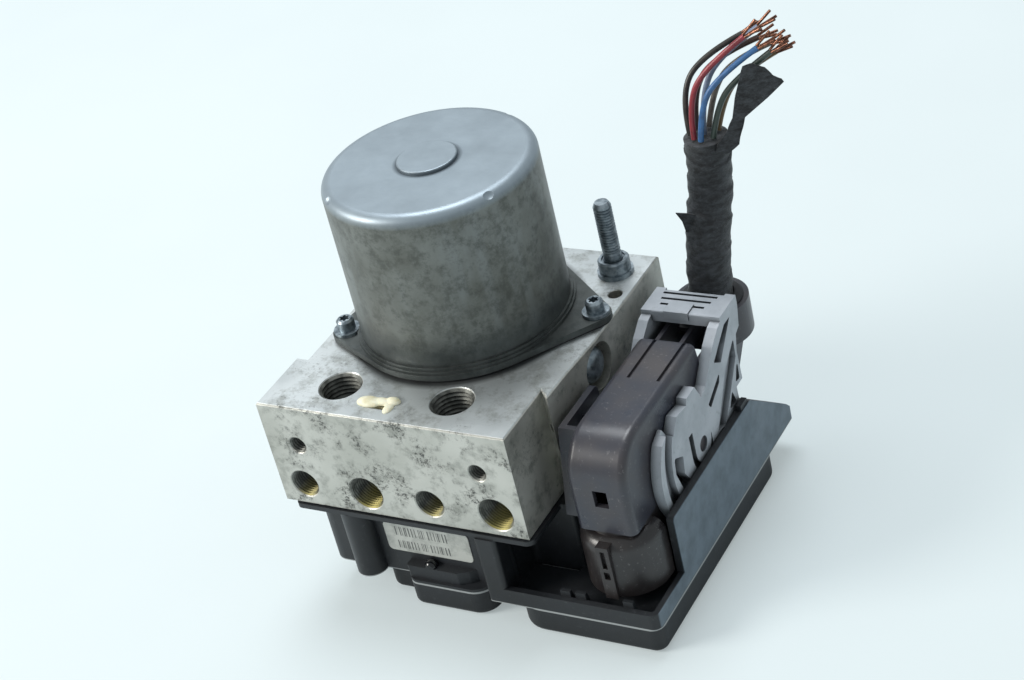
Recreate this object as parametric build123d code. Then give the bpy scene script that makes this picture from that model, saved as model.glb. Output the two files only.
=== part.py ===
from build123d import *
import math
import os

# ABS brake module: hydraulic block, pump motor, control unit and harness plug with its lever.
# Millimetres. +Z runs up the motor axis, and the origin is where that axis meets the surface the cover stands on.
# The wheel-pipe ports face -Y, and the harness plug stands on the +X side.

os.makedirs("parts", exist_ok=True)

# ---------------------------------------------------------------- driving dimensions
# levels above the standing surface
cover_depth = 9.3
housing_height = 27.6
block_height = 38.4
joint_z = cover_depth
block_bottom = cover_depth + housing_height
block_top = block_bottom + block_height

# hydraulic block, seen from above
front_left_x = -46.9
front_right_x = 42.5
rear_left_x = -42.6
rear_right_x = 47.8
front_y = -56.5
step_y = -31.7
rear_y = 42.9
hook_x = 46.1
hook_y = -35.0
hook_taper = 1.3
block_edge = 0.5

# ports and holes of the block
m10_r = 5.0
m12_r = 6.0
m14_r = 7.0
m6_r = 3.0
wheel_port_z = block_top - 30.6
wheel_port_x = {"a": -37.6, "b": -14.3, "c": 9.0, "d": 32.6}
wheel_port_r = {"a": m10_r, "b": m12_r, "c": m10_r, "d": m12_r}
wheel_port_depth = 14.0
top_port_x = (-23.3, 17.3)
top_port_y = -42.5
top_port_depth = 14.0
port_chamfer = 0.3
seat_height = 2.4
gallery_r = 1.7
gallery_depth = 5.0
fixing_x = (-35.5, 29.9)
fixing_z = block_top - 14.9
fixing_depth = 12.0
vent_x = 43.0
vent_y = 20.1
vent_r = 2.3
vent_depth = 9.0
hook_hole_x = 44.4
hook_hole_z = block_top - 13.0
hook_hole_r = 1.3
hook_hole_depth = 3.0
lead_x = 14.0
lead_y = -12.0
lead_r = 1.45
lead_clearance = 0.35
sensor_y = 33.0
sensor_r = 4.0
sensor_depth = 5.0

# pump, dampers, valves and accumulators inside the block
pump_axis_z = 49.8
pump_bore_r = 6.0
piston_r = 3.2
piston_length = 16.0
pump_sleeve_r = 5.6
pump_plug_length = 8.0
pump_plug_hex = 6.0
damper_y = -5.0
damper_z = block_top - 9.5
damper_pocket_r = 7.8
damper_pocket_depth = 5.0
damper_bore_depth = 9.0
damper_cap_r = 6.2
damper_cap_round = 3.8
well_r = 10.2
well_bottom = 41.0
valve_rows_y = (-22.0, 22.0)
valve_pitch = 17.0
valve_count = 4
valve_r = 4.0
valve_depth = 9.0
valve_dome_r = 3.2
valve_dome_length = 19.0
coil_r = 7.6
coil_height = 15.0
coil_gap = 1.5
accumulator_x = (-16.0, 16.0)
accumulator_y = 34.5
accumulator_r = 7.2
accumulator_depth = 25.0
accumulator_end_z = block_bottom + accumulator_depth
accumulator_crown = 2.0
accumulator_travel = 6.0
accumulator_piston_length = 8.0
accumulator_cap_length = 3.5

# pump motor
gasket_thickness = 0.8
flange_thickness = 2.0
can_r = 34.15
flange_r = can_r + 2.05
can_wall = 1.6
motor_top = block_top + 59.5
can_top_round = 3.5
bump_r = 9.6
bump_height = 1.2
dimple_angles = (68.0, 148.0, 230.0, 333.0)
ear_r = 4.9
ear_angles = (7.4, 208.0, 112.0)
ear_distances = (flange_r + 8.0, flange_r + 2.8, flange_r + 3.3)
motor_screw_r = 2.0
motor_screw_head_r = 2.9
motor_screw_head_height = 3.8
motor_screw_length = 8.0
washer_r = 4.4
washer_thickness = 1.1
magnet_inner_r = can_r - can_wall - 3.95
magnet_bottom = 96.0
magnet_top = motor_top - 8.8
winding_crown = 4.0
magnet_span = 78.0
rotor_gap = 0.7
shaft_r = 4.95
shaft_top_r = 3.95
commutator_r = 8.5
bearing_r = 11.0
bearing_height = 7.0
bush_r = 7.6
running_gap = 0.05
eccentric_offset = 1.0
eccentric_r = 6.0
ring_r = 8.5
ring_height = 9.0

# mounting stud
stud_x = 37.8
stud_y = 31.9
stud_r = 3.0
stud_shoulder_r = 3.2
stud_top = block_top + 26.5
stud_depth = 9.0
collar_r = 5.2
collar_height = 5.6
collar_flange_r = 5.9
collar_flange_height = 1.4

# control-unit housing
flange_plate = 2.3
seal_line = 0.6
body_left_x = -40.2
body_front_y = -51.5
body_rear_y = 43.4
body_corner_r = 5.0
plate_overhang = 0.7
housing_wall = 2.4
chamber_floor_z = 13.5
column_x = -24.2
column_y = -52.0
column_r = 5.3
pillar_left_x = 22.3
pillar_right_x = 30.0
tray_front_y = -57.7
tray_wall_y = -38.0
tray_right_x = 81.6
tray_rear_y = 50.0
tray_floor_z = 11.3
tray_corner_r = 3.0
rim_top_z = 15.2
rim_thickness = 2.0
side_wall_thickness = 2.6
side_wall_top_z = 36.3
side_wall_front_y = -36.6
side_wall_slope_y = 23.8
side_wall_rear_z = 14.5
guide_wall_x = 48.6
guide_wall_thickness = 2.0
ledge_left_x = -8.4
ledge_right_x = 10.4
ledge_front_y = -55.0
ledge_top_z = 15.4
lip_height = 1.4
clip_x = (48.2, 53.5, 69.6)
clip_width = 3.4
clip_top_z = 17.4

# cover under the housing
cover_wall = 2.0
cover_round = 2.2
hump_left_x = -9.0
hump_right_x = 21.0
hump_front_y = -56.2
hump_corner_r = 7.0
cover_left_x = -20.5
cover_front_y = -50.3
tub_left_x = 31.0
tub_corner_r = 9.0
cover_rear_y = 34.5
cover_notch_y = -45.0
cover_seal_height = 0.8
cover_seal_inset = 0.6
cover_seal_width = 0.8
ecu_screw_r = 2.0
ecu_screw_head_r = 3.0
ecu_screw_reach = 7.0
pillar_screw_x = 26.2

# circuit board
board_z = 5.0
board_thickness = 1.6
board_margin = 1.2
board_pin_r = 1.5

# label and vent cap on the recessed front wall
label_left_x = -15.6
label_right_x = 15.8
label_bottom_z = 18.2
label_top_z = 29.6
label_thickness = 0.25
vent_cap_x = 0.2
vent_cap_r = 2.3

# harness plug
plug_x = 65.0
plug_lift = 7.0
hood_half = 9.8
hood_front_y = -48.5
hood_lip_z = 37.6
hood_top_z = 68.6
hood_front_round = 14.0
hood_deck_y = 9.0
hood_deck_z = 60.0
hood_wall = 1.8
hood_edge_round = 3.0
skirt_half = 13.4
skirt_front_y = -52.4
skirt_rear_y = 33.0
skirt_bottom_z = 15.7
skirt_top_z = 26.5
skirt_wall = 1.9
dome_rear_y = -36.0
shroud_gap = 0.5
shroud_wall = 1.7
shroud_top_z = 24.0
core_bottom_z = 13.2
insert_gap = 0.4
terminal_bottom_z = 20.5
terminal_top_z = 30.0
strap_width = 4.2
strap_thickness = 1.2
window_x = 65.6
window_width = 4.7
window_bottom_z = 47.3
window_top_z = 53.3
outlet_y = 41.0
outlet_r = 12.3
outlet_wall = 1.7
outlet_bottom_z = 50.0
outlet_top_z = 62.5
flank_x = 48.9
flank_thickness = 2.1
flank_top_z = 66.0
pin_size = 1.1
pin_rows = 3
pins_per_row = 12
pin_pitch = 3.4
pin_row_pitch = 4.2
pin_top_z = 20.0

# lever
hub_y = -5.0
hub_z = 40.3
hub_r = 5.1
pivot_r = 2.5
pivot_gap = 0.08
lever_inner_half = 10.15
lever_outer_half = 13.6
lever_open_deg = 80.0
cam_pin_y = -20.5
cam_pin_z = -9.0
cam_pin_r = 2.0
cam_gap = 0.35
cam_depth = 2.2
cam_pin_length = 2.4
crossbar_front = 24.5
crossbar_rear = 37.3
crossbar_bottom = 26.6
crossbar_top = 30.5
pocket_depth = 1.9

# harness stub: taped loom, then bare wires that fan out to their cut ends
loom_r = 7.6
loom_points = (
    (plug_x, 41.0, 54.0),
    (plug_x, 41.6, 66.0),
    (plug_x, 46.5, 82.0),
    (plug_x, 57.0, 100.0),
    (plug_x, 57.0, 113.0),
)
wire_r = 0.95
wire_start_z = 113.7
strand_r = 0.45
strand_length = 6.0
wire_points = {
    "black": ((60.6, 55.4), (58.2, 58.5, 126.0), (63.5, 64.8, 136.5), (76.5, 71.0, 142.0)),
    "brown": ((61.6, 58.6), (60.0, 63.0, 125.0), (66.5, 69.0, 134.5), (80.5, 73.5, 139.5)),
    "red": ((62.9, 53.3), (62.2, 55.0, 126.0), (68.6, 58.6, 136.8), (81.0, 63.0, 145.5)),
    "blue": ((65.6, 52.4), (66.8, 53.8, 125.5), (73.2, 57.5, 134.5), (84.5, 63.5, 141.5)),
    "grey": ((64.8, 56.6), (64.6, 60.2, 126.5), (71.0, 64.5, 138.0), (83.5, 68.6, 146.0)),
    "white": ((64.6, 61.2), (65.5, 66.0, 124.5), (72.8, 70.0, 133.5), (85.5, 71.5, 139.0)),
    "green": ((68.8, 54.8), (71.0, 57.0, 124.5), (77.6, 60.5, 132.5), (88.0, 65.0, 139.5)),
    "yellow": ((68.4, 59.8), (70.4, 63.6, 124.0), (77.6, 67.5, 131.5), (88.0, 69.0, 137.5)),
}


# ---------------------------------------------------------------- shape helpers
def slab(x0, x1, y0, y1, z0, z1):
    """Rectangular block between two corners."""
    middle = Pos((x0 + x1) / 2, (y0 + y1) / 2, (z0 + z1) / 2)
    return middle * Box(x1 - x0, y1 - y0, z1 - z0)


def post(x, y, z0, z1, r):
    """Upright cylinder."""
    return Pos(x, y, (z0 + z1) / 2) * Cylinder(r, z1 - z0)


def rod_x(y, z, x0, x1, r):
    """Cylinder along X."""
    return Pos((x0 + x1) / 2, y, z) * Rot(0, 90, 0) * Cylinder(r, x1 - x0)


def rod_y(x, z, y0, y1, r):
    """Cylinder along Y."""
    return Pos(x, (y0 + y1) / 2, z) * Rot(90, 0, 0) * Cylinder(r, y1 - y0)


def outline(points, radii):
    """Closed outline whose corners are rounded by one radius, or by a list with one radius for each corner."""
    face = make_face(Polyline(*points, close=True))
    if not isinstance(radii, (list, tuple)):
        radii = [radii] * len(points)
    for point, radius in zip(points, radii):
        if radius > 0:
            corner = face.vertices().sort_by_distance((point[0], point[1], 0))[0]
            face = fillet(corner, radius)
    return face


def plan(points, z0, z1, radii=0):
    """Outline seen from above, raised from z0 to z1."""
    return Pos(0, 0, z0) * extrude(outline(points, radii), z1 - z0, dir=(0, 0, 1))


def side(points, x0, x1, radii=0):
    """Outline of (y, z) points seen from the side, carried from x0 to x1."""
    face = Plane.YZ * outline(points, radii)
    return Pos(x0, 0, 0) * extrude(face, x1 - x0, dir=(1, 0, 0))


def rectangle(x0, x1, y0, y1):
    """Corner points of a rectangle."""
    return [(x0, y0), (x1, y0), (x1, y1), (x0, y1)]


def turned(points):
    """Solid turned about the motor axis from an outline of (radius, height) points."""
    return revolve(Plane.XZ * make_face(Polyline(*points, close=True)), Axis.Z)


def group(pieces):
    """Separate solids that share one node."""
    return Compound(children=[p for piece in pieces for p in piece.solids()])


def save(name, shape):
    """Write one sub-part."""
    solids = shape.solids()
    shape = solids[0] if len(solids) == 1 else Compound(children=list(solids))
    shape.label = name
    export_step(shape, "parts/" + name + ".step")
    return shape


# ---------------------------------------------------------------- hydraulic block
def port_tool(r, depth):
    """Cutter for a pipe port with its mouth at the origin, facing +Z: lead-in, bore, conical seat and gallery."""
    bore = Pos(0, 0, -depth / 2 + 0.5) * Cylinder(r, depth + 1.0)
    lead_in = Pos(0, 0, -port_chamfer / 2) * Cone(r, r + port_chamfer, port_chamfer)
    seat = Pos(0, 0, -depth - seat_height / 2) * Cone(gallery_r, r - 0.8, seat_height)
    gallery = Pos(0, 0, -depth - gallery_depth / 2) * Cylinder(gallery_r, gallery_depth)
    return bore + lead_in + seat + gallery


def hole_tool(r, depth):
    """Cutter for a plain blind hole with a drill point, mouth at the origin, facing +Z."""
    point_height = r * 0.58
    bore = Pos(0, 0, -depth / 2 + 0.5) * Cylinder(r, depth + 1.0)
    point = Pos(0, 0, -depth - point_height / 2) * Cone(0.01, r, point_height)
    lead_in = Pos(0, 0, -0.15) * Cone(r, r + 0.3, 0.3)
    return bore + point + lead_in


def ear_places():
    """Centres of the motor flange's ears."""
    places = []
    for angle, distance in zip(ear_angles, ear_distances):
        turn = math.radians(angle)
        places.append((distance * math.cos(turn), distance * math.sin(turn)))
    return places


def valve_places(row_y):
    """Axes of one row of solenoid valves."""
    first = -valve_pitch * (valve_count - 1) / 2
    return [(first + i * valve_pitch, row_y) for i in range(valve_count)]


def make_block():
    shape = plan(
        [
            (front_left_x, front_y),
            (front_right_x, front_y),
            (front_right_x, step_y),
            (hook_x, hook_y),
            (rear_right_x - hook_taper, hook_y + 13.0),
            (rear_right_x, hook_y + 30.0),
            (rear_right_x, rear_y),
            (rear_left_x, rear_y),
            (rear_left_x, step_y),
            (front_left_x, step_y),
        ],
        block_bottom,
        block_top,
    )
    shape = chamfer(shape.faces().sort_by(Axis.Z)[-1].edges(), block_edge)
    for key, x in wheel_port_x.items():
        tool = port_tool(wheel_port_r[key], wheel_port_depth)
        shape -= Pos(x, front_y, wheel_port_z) * Rot(90, 0, 0) * tool
    for x in top_port_x:
        shape -= Pos(x, top_port_y, block_top) * port_tool(m14_r, top_port_depth)
    for x in fixing_x:
        shape -= Pos(x, front_y, fixing_z) * Rot(90, 0, 0) * hole_tool(m6_r, fixing_depth)
    shape -= Pos(vent_x, vent_y, block_top) * hole_tool(vent_r, vent_depth)
    shape -= rod_y(hook_hole_x, hook_hole_z, hook_y, step_y - 1.0 + hook_hole_depth, hook_hole_r)
    for x in (-lead_x, lead_x):
        shape -= post(x, lead_y, block_bottom - 1.0, block_top + 1.0, lead_r + lead_clearance)
    shape -= post(0, sensor_y, block_bottom - 1.0, block_bottom + sensor_depth, sensor_r)
    shape -= Pos(stud_x, stud_y, block_top) * hole_tool(stud_shoulder_r, stud_depth)
    for x, y in ear_places():
        shape -= Pos(x, y, block_top) * hole_tool(motor_screw_r, motor_screw_length)
    # well for the eccentric, with the seat of the lower bearing at its mouth
    shape -= post(0, 0, well_bottom, block_top - bearing_height, well_r)
    shape -= post(0, 0, block_top - bearing_height, block_top + 1.0, bearing_r)
    shape -= rod_x(0, pump_axis_z, rear_left_x - 1.0, rear_right_x + 1.0, pump_bore_r)
    for face_x, inward in ((rear_left_x, 1), (rear_right_x, -1)):
        x_far = face_x + inward * damper_pocket_depth
        shape -= rod_x(damper_y, damper_z, min(face_x - inward, x_far), max(face_x - inward, x_far), damper_pocket_r)
        x_end = x_far + inward * damper_bore_depth
        shape -= rod_x(damper_y, damper_z, min(x_far, x_end), max(x_far, x_end), damper_cap_r)
    for row_y in valve_rows_y:
        for x, y in valve_places(row_y):
            shape -= post(x, y, block_bottom - 1.0, block_bottom + valve_depth, valve_r)
    for x in accumulator_x:
        shape -= post(x, accumulator_y, block_bottom - 1.0, accumulator_end_z, accumulator_r)
    for x, y in screw_columns():
        shape -= post(x, y, block_bottom - 1.0, block_bottom + screw_reach(x), ecu_screw_r)
    return shape


def make_stud():
    shank = post(stud_x, stud_y, block_top - stud_depth, stud_top, stud_r)
    shank = chamfer(shank.edges().sort_by(Axis.Z)[-1], 0.8)
    return shank + post(stud_x, stud_y, block_top - stud_depth, block_top + collar_height + 0.2, stud_shoulder_r)


def make_stud_collar():
    tube = post(stud_x, stud_y, block_top, block_top + collar_height, collar_r)
    foot = post(stud_x, stud_y, block_top, block_top + collar_flange_height, collar_flange_r)
    collar = tube + foot
    collar = chamfer(collar.edges().sort_by(Axis.Z)[-1], 0.5)
    recess = post(stud_x, stud_y, block_top + collar_height - 0.7, block_top + collar_height + 1.0, stud_shoulder_r + 0.7)
    return collar - recess - post(stud_x, stud_y, block_top - 1.0, block_top + collar_height, stud_shoulder_r)


# ---------------------------------------------------------------- pump motor
def make_motor_can():
    base = block_top + gasket_thickness
    ears = [Pos(x, y) * Circle(ear_r) for x, y in ear_places()]
    rim = make_hull((Sketch() + [Circle(flange_r)] + ears).edges())
    flange = Pos(0, 0, base) * extrude(rim, flange_thickness, dir=(0, 0, 1))
    steps = post(0, 0, base, base + flange_thickness + 1.0, flange_r - 0.6)
    steps += post(0, 0, base, base + flange_thickness + 2.0, can_r + 0.8)
    shell = post(0, 0, base, motor_top - bump_height, can_r)
    shell = fillet(shell.edges().sort_by(Axis.Z)[-1], can_top_round)
    bump = post(0, 0, motor_top - bump_height - 1.0, motor_top, bump_r)
    bump = fillet(bump.edges().sort_by(Axis.Z)[-1], 0.5)
    can = flange + steps + shell + bump
    inside = post(0, 0, base - 1.0, motor_top - bump_height - can_wall, can_r - can_wall)
    can -= inside
    can -= post(0, 0, motor_top - bump_height - can_wall - 0.1, motor_top - can_wall, bush_r + running_gap)
    for x, y in ear_places():
        can -= post(x, y, base - 1.0, base + flange_thickness + 1.0, motor_screw_r + 0.3)
        can -= post(x, y, base + flange_thickness, base + flange_thickness + 5.0, washer_r + 0.2)
    # staking dimples round the top rim
    for turn in dimple_angles:
        can -= Rot(0, 0, turn) * Pos(can_r + 0.65, 0, motor_top - bump_height + 0.7) * Sphere(3.0)
    return can


def make_motor_gasket():
    ears = [Pos(x, y) * Circle(ear_r - 0.6) for x, y in ear_places()]
    rim = make_hull((Sketch() + [Circle(flange_r - 0.9)] + ears).edges())
    gasket = Pos(0, 0, block_top) * extrude(rim, gasket_thickness, dir=(0, 0, 1))
    gasket -= post(0, 0, block_top - 1.0, block_top + gasket_thickness + 1.0, can_r - can_wall)
    for x, y in ear_places():
        gasket -= post(x, y, block_top - 1.0, block_top + 2.0, motor_screw_r + 0.3)
    return gasket


def torx_screw(shank_r, shank_length, head_r, head_height):
    """Pan-head screw with a star-shaped socket, seated at z = 0."""
    head = Pos(0, 0, head_height / 2) * Cylinder(head_r, head_height)
    head = chamfer(head.edges().sort_by(Axis.Z)[-1], 0.7)
    star = Circle(head_r * 0.42)
    for turn in range(0, 360, 60):
        star += Rot(0, 0, turn) * Pos(head_r * 0.46, 0) * Circle(head_r * 0.15)
    socket = Pos(0, 0, head_height - 2.0) * extrude(star, 3.0, dir=(0, 0, 1))
    shank = Pos(0, 0, -shank_length / 2) * Cylinder(shank_r, shank_length)
    return head - socket + shank


def make_motor_screws():
    """The three flange screws with their captive washers."""
    low = block_top + gasket_thickness + flange_thickness
    seat = low + washer_thickness
    screw = torx_screw(motor_screw_r, seat - block_top + motor_screw_length - 0.5, motor_screw_head_r,
                       motor_screw_head_height)
    pieces = []
    for x, y in ear_places():
        disc = post(x, y, low, seat, washer_r)
        pieces.append(disc - post(x, y, low, seat, motor_screw_r))
        pieces.append(Pos(x, y, seat) * screw)
    return group(pieces)


def make_magnets():
    outer = can_r - can_wall
    ring = post(0, 0, magnet_bottom, magnet_top, outer) - post(0, 0, magnet_bottom, magnet_top, magnet_inner_r)
    magnets = []
    for turn in (0, 90, 180, 270):
        half = math.radians(magnet_span / 2)
        reach = 60.0
        wedge = plan([(0, 0), (reach * math.cos(half), -reach * math.sin(half)),
                      (reach * math.cos(half), reach * math.sin(half))], magnet_bottom, magnet_top)
        magnets.append(Rot(0, 0, turn) * (ring & wedge))
    return group(magnets)


brush_plate_bottom = block_top + gasket_thickness + flange_thickness
brush_plate_top = brush_plate_bottom + 2.0
commutator_bottom = brush_plate_top + 1.0
commutator_top = commutator_bottom + 9.0
armature_bottom = magnet_bottom + 1.0
armature_top = magnet_top - 4.0


def make_brush_plate():
    plate = post(0, 0, brush_plate_bottom, brush_plate_top, can_r - can_wall - 0.02)
    for turn in (90, 270):
        holder = slab(commutator_r + 1.5, commutator_r + 15.0, -4.2, 4.2, brush_plate_top, brush_plate_top + 8.4)
        tunnel = slab(commutator_r, commutator_r + 13.6, -3.0, 3.0, brush_plate_top + 1.2, brush_plate_top + 7.2)
        plate += Rot(0, 0, turn) * (holder - tunnel)
    plate -= post(0, 0, brush_plate_bottom - 1.0, brush_plate_top + 1.0, commutator_r + 1.2)
    for x in (-lead_x, lead_x):
        plate -= post(x, lead_y, brush_plate_bottom - 1.0, brush_plate_top + 1.0, lead_r)
    return plate


def make_brushes():
    block = slab(commutator_r + running_gap, commutator_r + 9.5, -2.9, 2.9, brush_plate_top + 1.25, brush_plate_top + 7.1)
    block -= post(0, 0, brush_plate_top, brush_plate_top + 8.0, commutator_r + running_gap)
    return group([Rot(0, 0, turn) * block for turn in (90, 270)])


def make_motor_leads():
    """Two feed pins from the circuit board through the block to the brush plate."""
    return group([post(x, lead_y, board_z + board_thickness, brush_plate_top + 3.0, lead_r) for x in (-lead_x, lead_x)])


def make_lower_bearing():
    low = block_top - bearing_height
    race = post(0, 0, low, block_top, bearing_r) - post(0, 0, low, block_top, bearing_r - 1.8)
    inner = post(0, 0, low, block_top, shaft_r + 1.6) - post(0, 0, low, block_top, shaft_r + running_gap)
    ball_r = (bearing_r - 1.8 - shaft_r - 1.6) / 2
    orbit = shaft_r + 1.6 + ball_r
    cage = post(0, 0, low + 1.0, block_top - 1.0, bearing_r - 1.8) - post(0, 0, low + 1.0, block_top - 1.0, shaft_r + 1.6)
    for i in range(8):
        cage += Rot(0, 0, i * 45) * Pos(orbit, 0, low + bearing_height / 2) * Sphere(ball_r)
    return race + inner + cage


def make_upper_bush():
    top = motor_top - can_wall
    low = top - bump_height - can_wall - 4.0
    bush = post(0, 0, low, top, bush_r)
    return bush - post(0, 0, low, top - 0.8, shaft_top_r + running_gap)


def make_shaft():
    top = motor_top - can_wall - 1.4
    step_z = armature_bottom - winding_crown
    shaft = post(0, 0, pump_axis_z + ring_height / 2, step_z, shaft_r)
    shaft += post(0, 0, step_z, top, shaft_top_r)
    shaft += post(0, eccentric_offset, pump_axis_z - ring_height / 2, pump_axis_z + ring_height / 2 + 1.0, eccentric_r)
    shaft += post(0, 0, well_bottom + 0.6, pump_axis_z - ring_height / 2, shaft_top_r)
    return shaft


def make_eccentric_ring():
    low = pump_axis_z - ring_height / 2 + 0.2
    high = low + ring_height - 0.4
    ring = post(0, eccentric_offset, low, high, ring_r)
    return ring - post(0, eccentric_offset, low, high, eccentric_r)


def make_armature():
    outer = magnet_inner_r - rotor_gap
    low = armature_bottom
    high = armature_top
    core = post(0, 0, low, high, outer)
    slots = 12
    for i in range(slots):
        mouth = slab(outer - 1.6, outer + 1.0, -0.7, 0.7, low - 1.0, high + 1.0)
        slot = slab(outer - 9.0, outer - 1.5, -1.9, 1.9, low - 1.0, high + 1.0)
        core -= Rot(0, 0, i * 360 / slots) * (slot + mouth)
    return core - post(0, 0, low, high, shaft_top_r)


def make_windings():
    outer = magnet_inner_r - rotor_gap - 2.0
    low = armature_bottom
    high = armature_top
    crowns = []
    for z0, z1 in ((low - winding_crown, low), (high, high + winding_crown - 0.5)):
        crown = post(0, 0, z0, z1, outer)
        chosen = crown.edges().sort_by(Axis.Z)[0 if z0 < low else -1]
        crown = fillet(chosen, 2.4)
        crowns.append(crown - post(0, 0, z0, z1, shaft_top_r))
    return group(crowns)


def make_commutator():
    """Copper bars for the brushes, with the riser that meets the windings."""
    high = armature_bottom - winding_crown
    bars = post(0, 0, commutator_bottom, high, commutator_r)
    bars += post(0, 0, commutator_top - 1.5, high, commutator_r + 1.2)
    for i in range(12):
        gap = slab(commutator_r - 0.5, commutator_r + 2.0, -0.25, 0.25, commutator_bottom, high)
        bars -= Rot(0, 0, i * 30) * gap
    return bars - post(0, 0, commutator_bottom, high, shaft_r)


# ---------------------------------------------------------------- pump, dampers, valves, accumulators
piston_inner_x = ring_r + eccentric_offset + 0.3


def make_pump_pistons():
    pistons = []
    for turn in (0, 180):
        body = rod_x(0, pump_axis_z, piston_inner_x, piston_inner_x + piston_length, piston_r)
        collar = rod_x(0, pump_axis_z, piston_inner_x + 4.0, piston_inner_x + 6.0, piston_r + 1.0)
        pistons.append(Rot(0, 0, turn) * (body + collar))
    return group(pistons)


def make_pump_sleeves():
    sleeves = []
    low = piston_inner_x + 9.0
    high = piston_inner_x + piston_length + 6.0
    for turn in (0, 180):
        sleeve = rod_x(0, pump_axis_z, low, high, pump_bore_r)
        bore = rod_x(0, pump_axis_z, low - 1.0, high - 2.0, piston_r + running_gap)
        sleeves.append(Rot(0, 0, turn) * (sleeve - bore))
    return group(sleeves)


def coil_spring(r, wire, low, high, turns):
    """Helical compression spring along Z."""
    pitch = (high - low - wire) / turns
    path = Pos(0, 0, low + wire / 2) * Helix(pitch, high - low - wire, r)
    section = Plane(origin=path @ 0, z_dir=path % 0) * Circle(wire / 2)
    return sweep(section, path=path)


def make_pump_springs():
    spring = coil_spring(piston_r + 1.1, 0.8, 0.0, 2.9, 2.5)
    springs = []
    for turn in (0, 180):
        placed = Pos(piston_inner_x + 6.05, 0, pump_axis_z) * Rot(0, 90, 0) * spring
        springs.append(Rot(0, 0, turn) * placed)
    return group(springs)


def make_pump_plugs():
    plugs = []
    for face_x, inward in ((rear_left_x, 1), (rear_right_x, -1)):
        inner_x = face_x + inward * pump_plug_length
        stop_x = -inward * (piston_inner_x + piston_length + 6.0)
        stem = rod_x(0, pump_axis_z, min(stop_x, inner_x), max(stop_x, inner_x), pump_bore_r - 1.5)
        plug = rod_x(0, pump_axis_z, min(face_x, inner_x), max(face_x, inner_x), pump_bore_r) + stem
        key = extrude(Plane.YZ * RegularPolygon(pump_plug_hex / 2, 6), 3.0, dir=(inward, 0, 0))
        plugs.append(plug - Pos(face_x, 0, pump_axis_z) * key)
    return group(plugs)


def make_damper_caps():
    caps = []
    for face_x, inward in ((rear_left_x, 1), (rear_right_x, -1)):
        seat_x = face_x + inward * damper_pocket_depth
        inner_x = seat_x + inward * 4.0
        outer_x = face_x + inward * 0.4
        cap = rod_x(damper_y, damper_z, min(outer_x, inner_x), max(outer_x, inner_x), damper_cap_r)
        mouth_edge = cap.edges().sort_by(Axis.X)[0 if inward > 0 else -1]
        caps.append(fillet(mouth_edge, damper_cap_round))
    return group(caps)


def make_valves(row_y):
    valves = []
    for x, y in valve_places(row_y):
        body = post(x, y, block_bottom, block_bottom + valve_depth, valve_r)
        foot = post(x, y, block_bottom - 1.0, block_bottom, valve_r)
        dome = post(x, y, block_bottom - valve_dome_length, block_bottom - 1.0, valve_dome_r)
        dome = fillet(dome.edges().sort_by(Axis.Z)[0], 1.4)
        valves.append(body + foot + dome)
    return group(valves)


def make_coils():
    coils = []
    high = block_bottom - coil_gap
    low = high - coil_height
    for row_y in valve_rows_y:
        for x, y in valve_places(row_y):
            winding = post(x, y, low + 1.4, high - 1.4, coil_r - 0.6)
            cheeks = post(x, y, low, low + 1.4, coil_r) + post(x, y, high - 1.4, high, coil_r)
            coil = winding + cheeks - post(x, y, low, high, valve_dome_r)
            # the outer pair stands on the lead frame in the housing's floor, the others on the board
            foot_z = chamber_floor_z if x < cover_left_x else board_z + board_thickness
            for pin_x in (x - 2.5, x + 2.5):
                coil += post(pin_x, y + math.copysign(coil_r - 1.6, y), foot_z, low, 0.5)
            coils.append(coil)
    return group(coils)


def accumulator_piston(x):
    high = accumulator_end_z - 0.4
    low = high - accumulator_piston_length
    body = post(x, accumulator_y, low, high, accumulator_r - running_gap)
    hollow = post(x, accumulator_y, low - 1.0, high - accumulator_crown, accumulator_r - 2.0)
    groove = post(x, accumulator_y, low + 2.0, low + 4.0, accumulator_r)
    groove -= post(x, accumulator_y, low + 2.0, low + 4.0, accumulator_r - 1.2)
    return body - hollow - groove


def accumulator_seal(x):
    low = accumulator_end_z - 0.4 - accumulator_piston_length + 2.0
    ring = post(x, accumulator_y, low + 0.05, low + 1.95, accumulator_r - running_gap)
    return ring - post(x, accumulator_y, low, low + 2.0, accumulator_r - 1.2)


def accumulator_spring(x):
    low = block_bottom + accumulator_cap_length
    high = accumulator_end_z - 0.4 - accumulator_crown
    return Pos(x, accumulator_y, 0) * coil_spring(accumulator_r - 3.4, 1.4, low, high, 5)


def make_accumulator_caps():
    caps = []
    for x in accumulator_x:
        cap = post(x, accumulator_y, block_bottom, block_bottom + accumulator_cap_length, accumulator_r)
        dish = post(x, accumulator_y, block_bottom - 1.0, block_bottom + 1.4, accumulator_r - 2.0)
        caps.append(cap - dish)
    return group(caps)


# ---------------------------------------------------------------- control-unit housing
plate_top = block_bottom - seal_line
plate_bottom = block_bottom - flange_plate
right_wall_x = tray_right_x - side_wall_thickness


def body_outline():
    """Corner points of the housing's main box with its right front pillar, and their radii."""
    points = [
        (body_left_x, body_front_y),
        (pillar_left_x, body_front_y),
        (pillar_left_x, tray_front_y),
        (pillar_right_x, tray_front_y),
        (pillar_right_x, tray_wall_y),
        (rear_right_x, tray_wall_y),
        (rear_right_x, body_rear_y),
        (body_left_x, body_rear_y),
    ]
    return points, [body_corner_r, 2.0, 1.5, 1.5, 2.0, 1.5, 3.0, 3.0]


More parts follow.
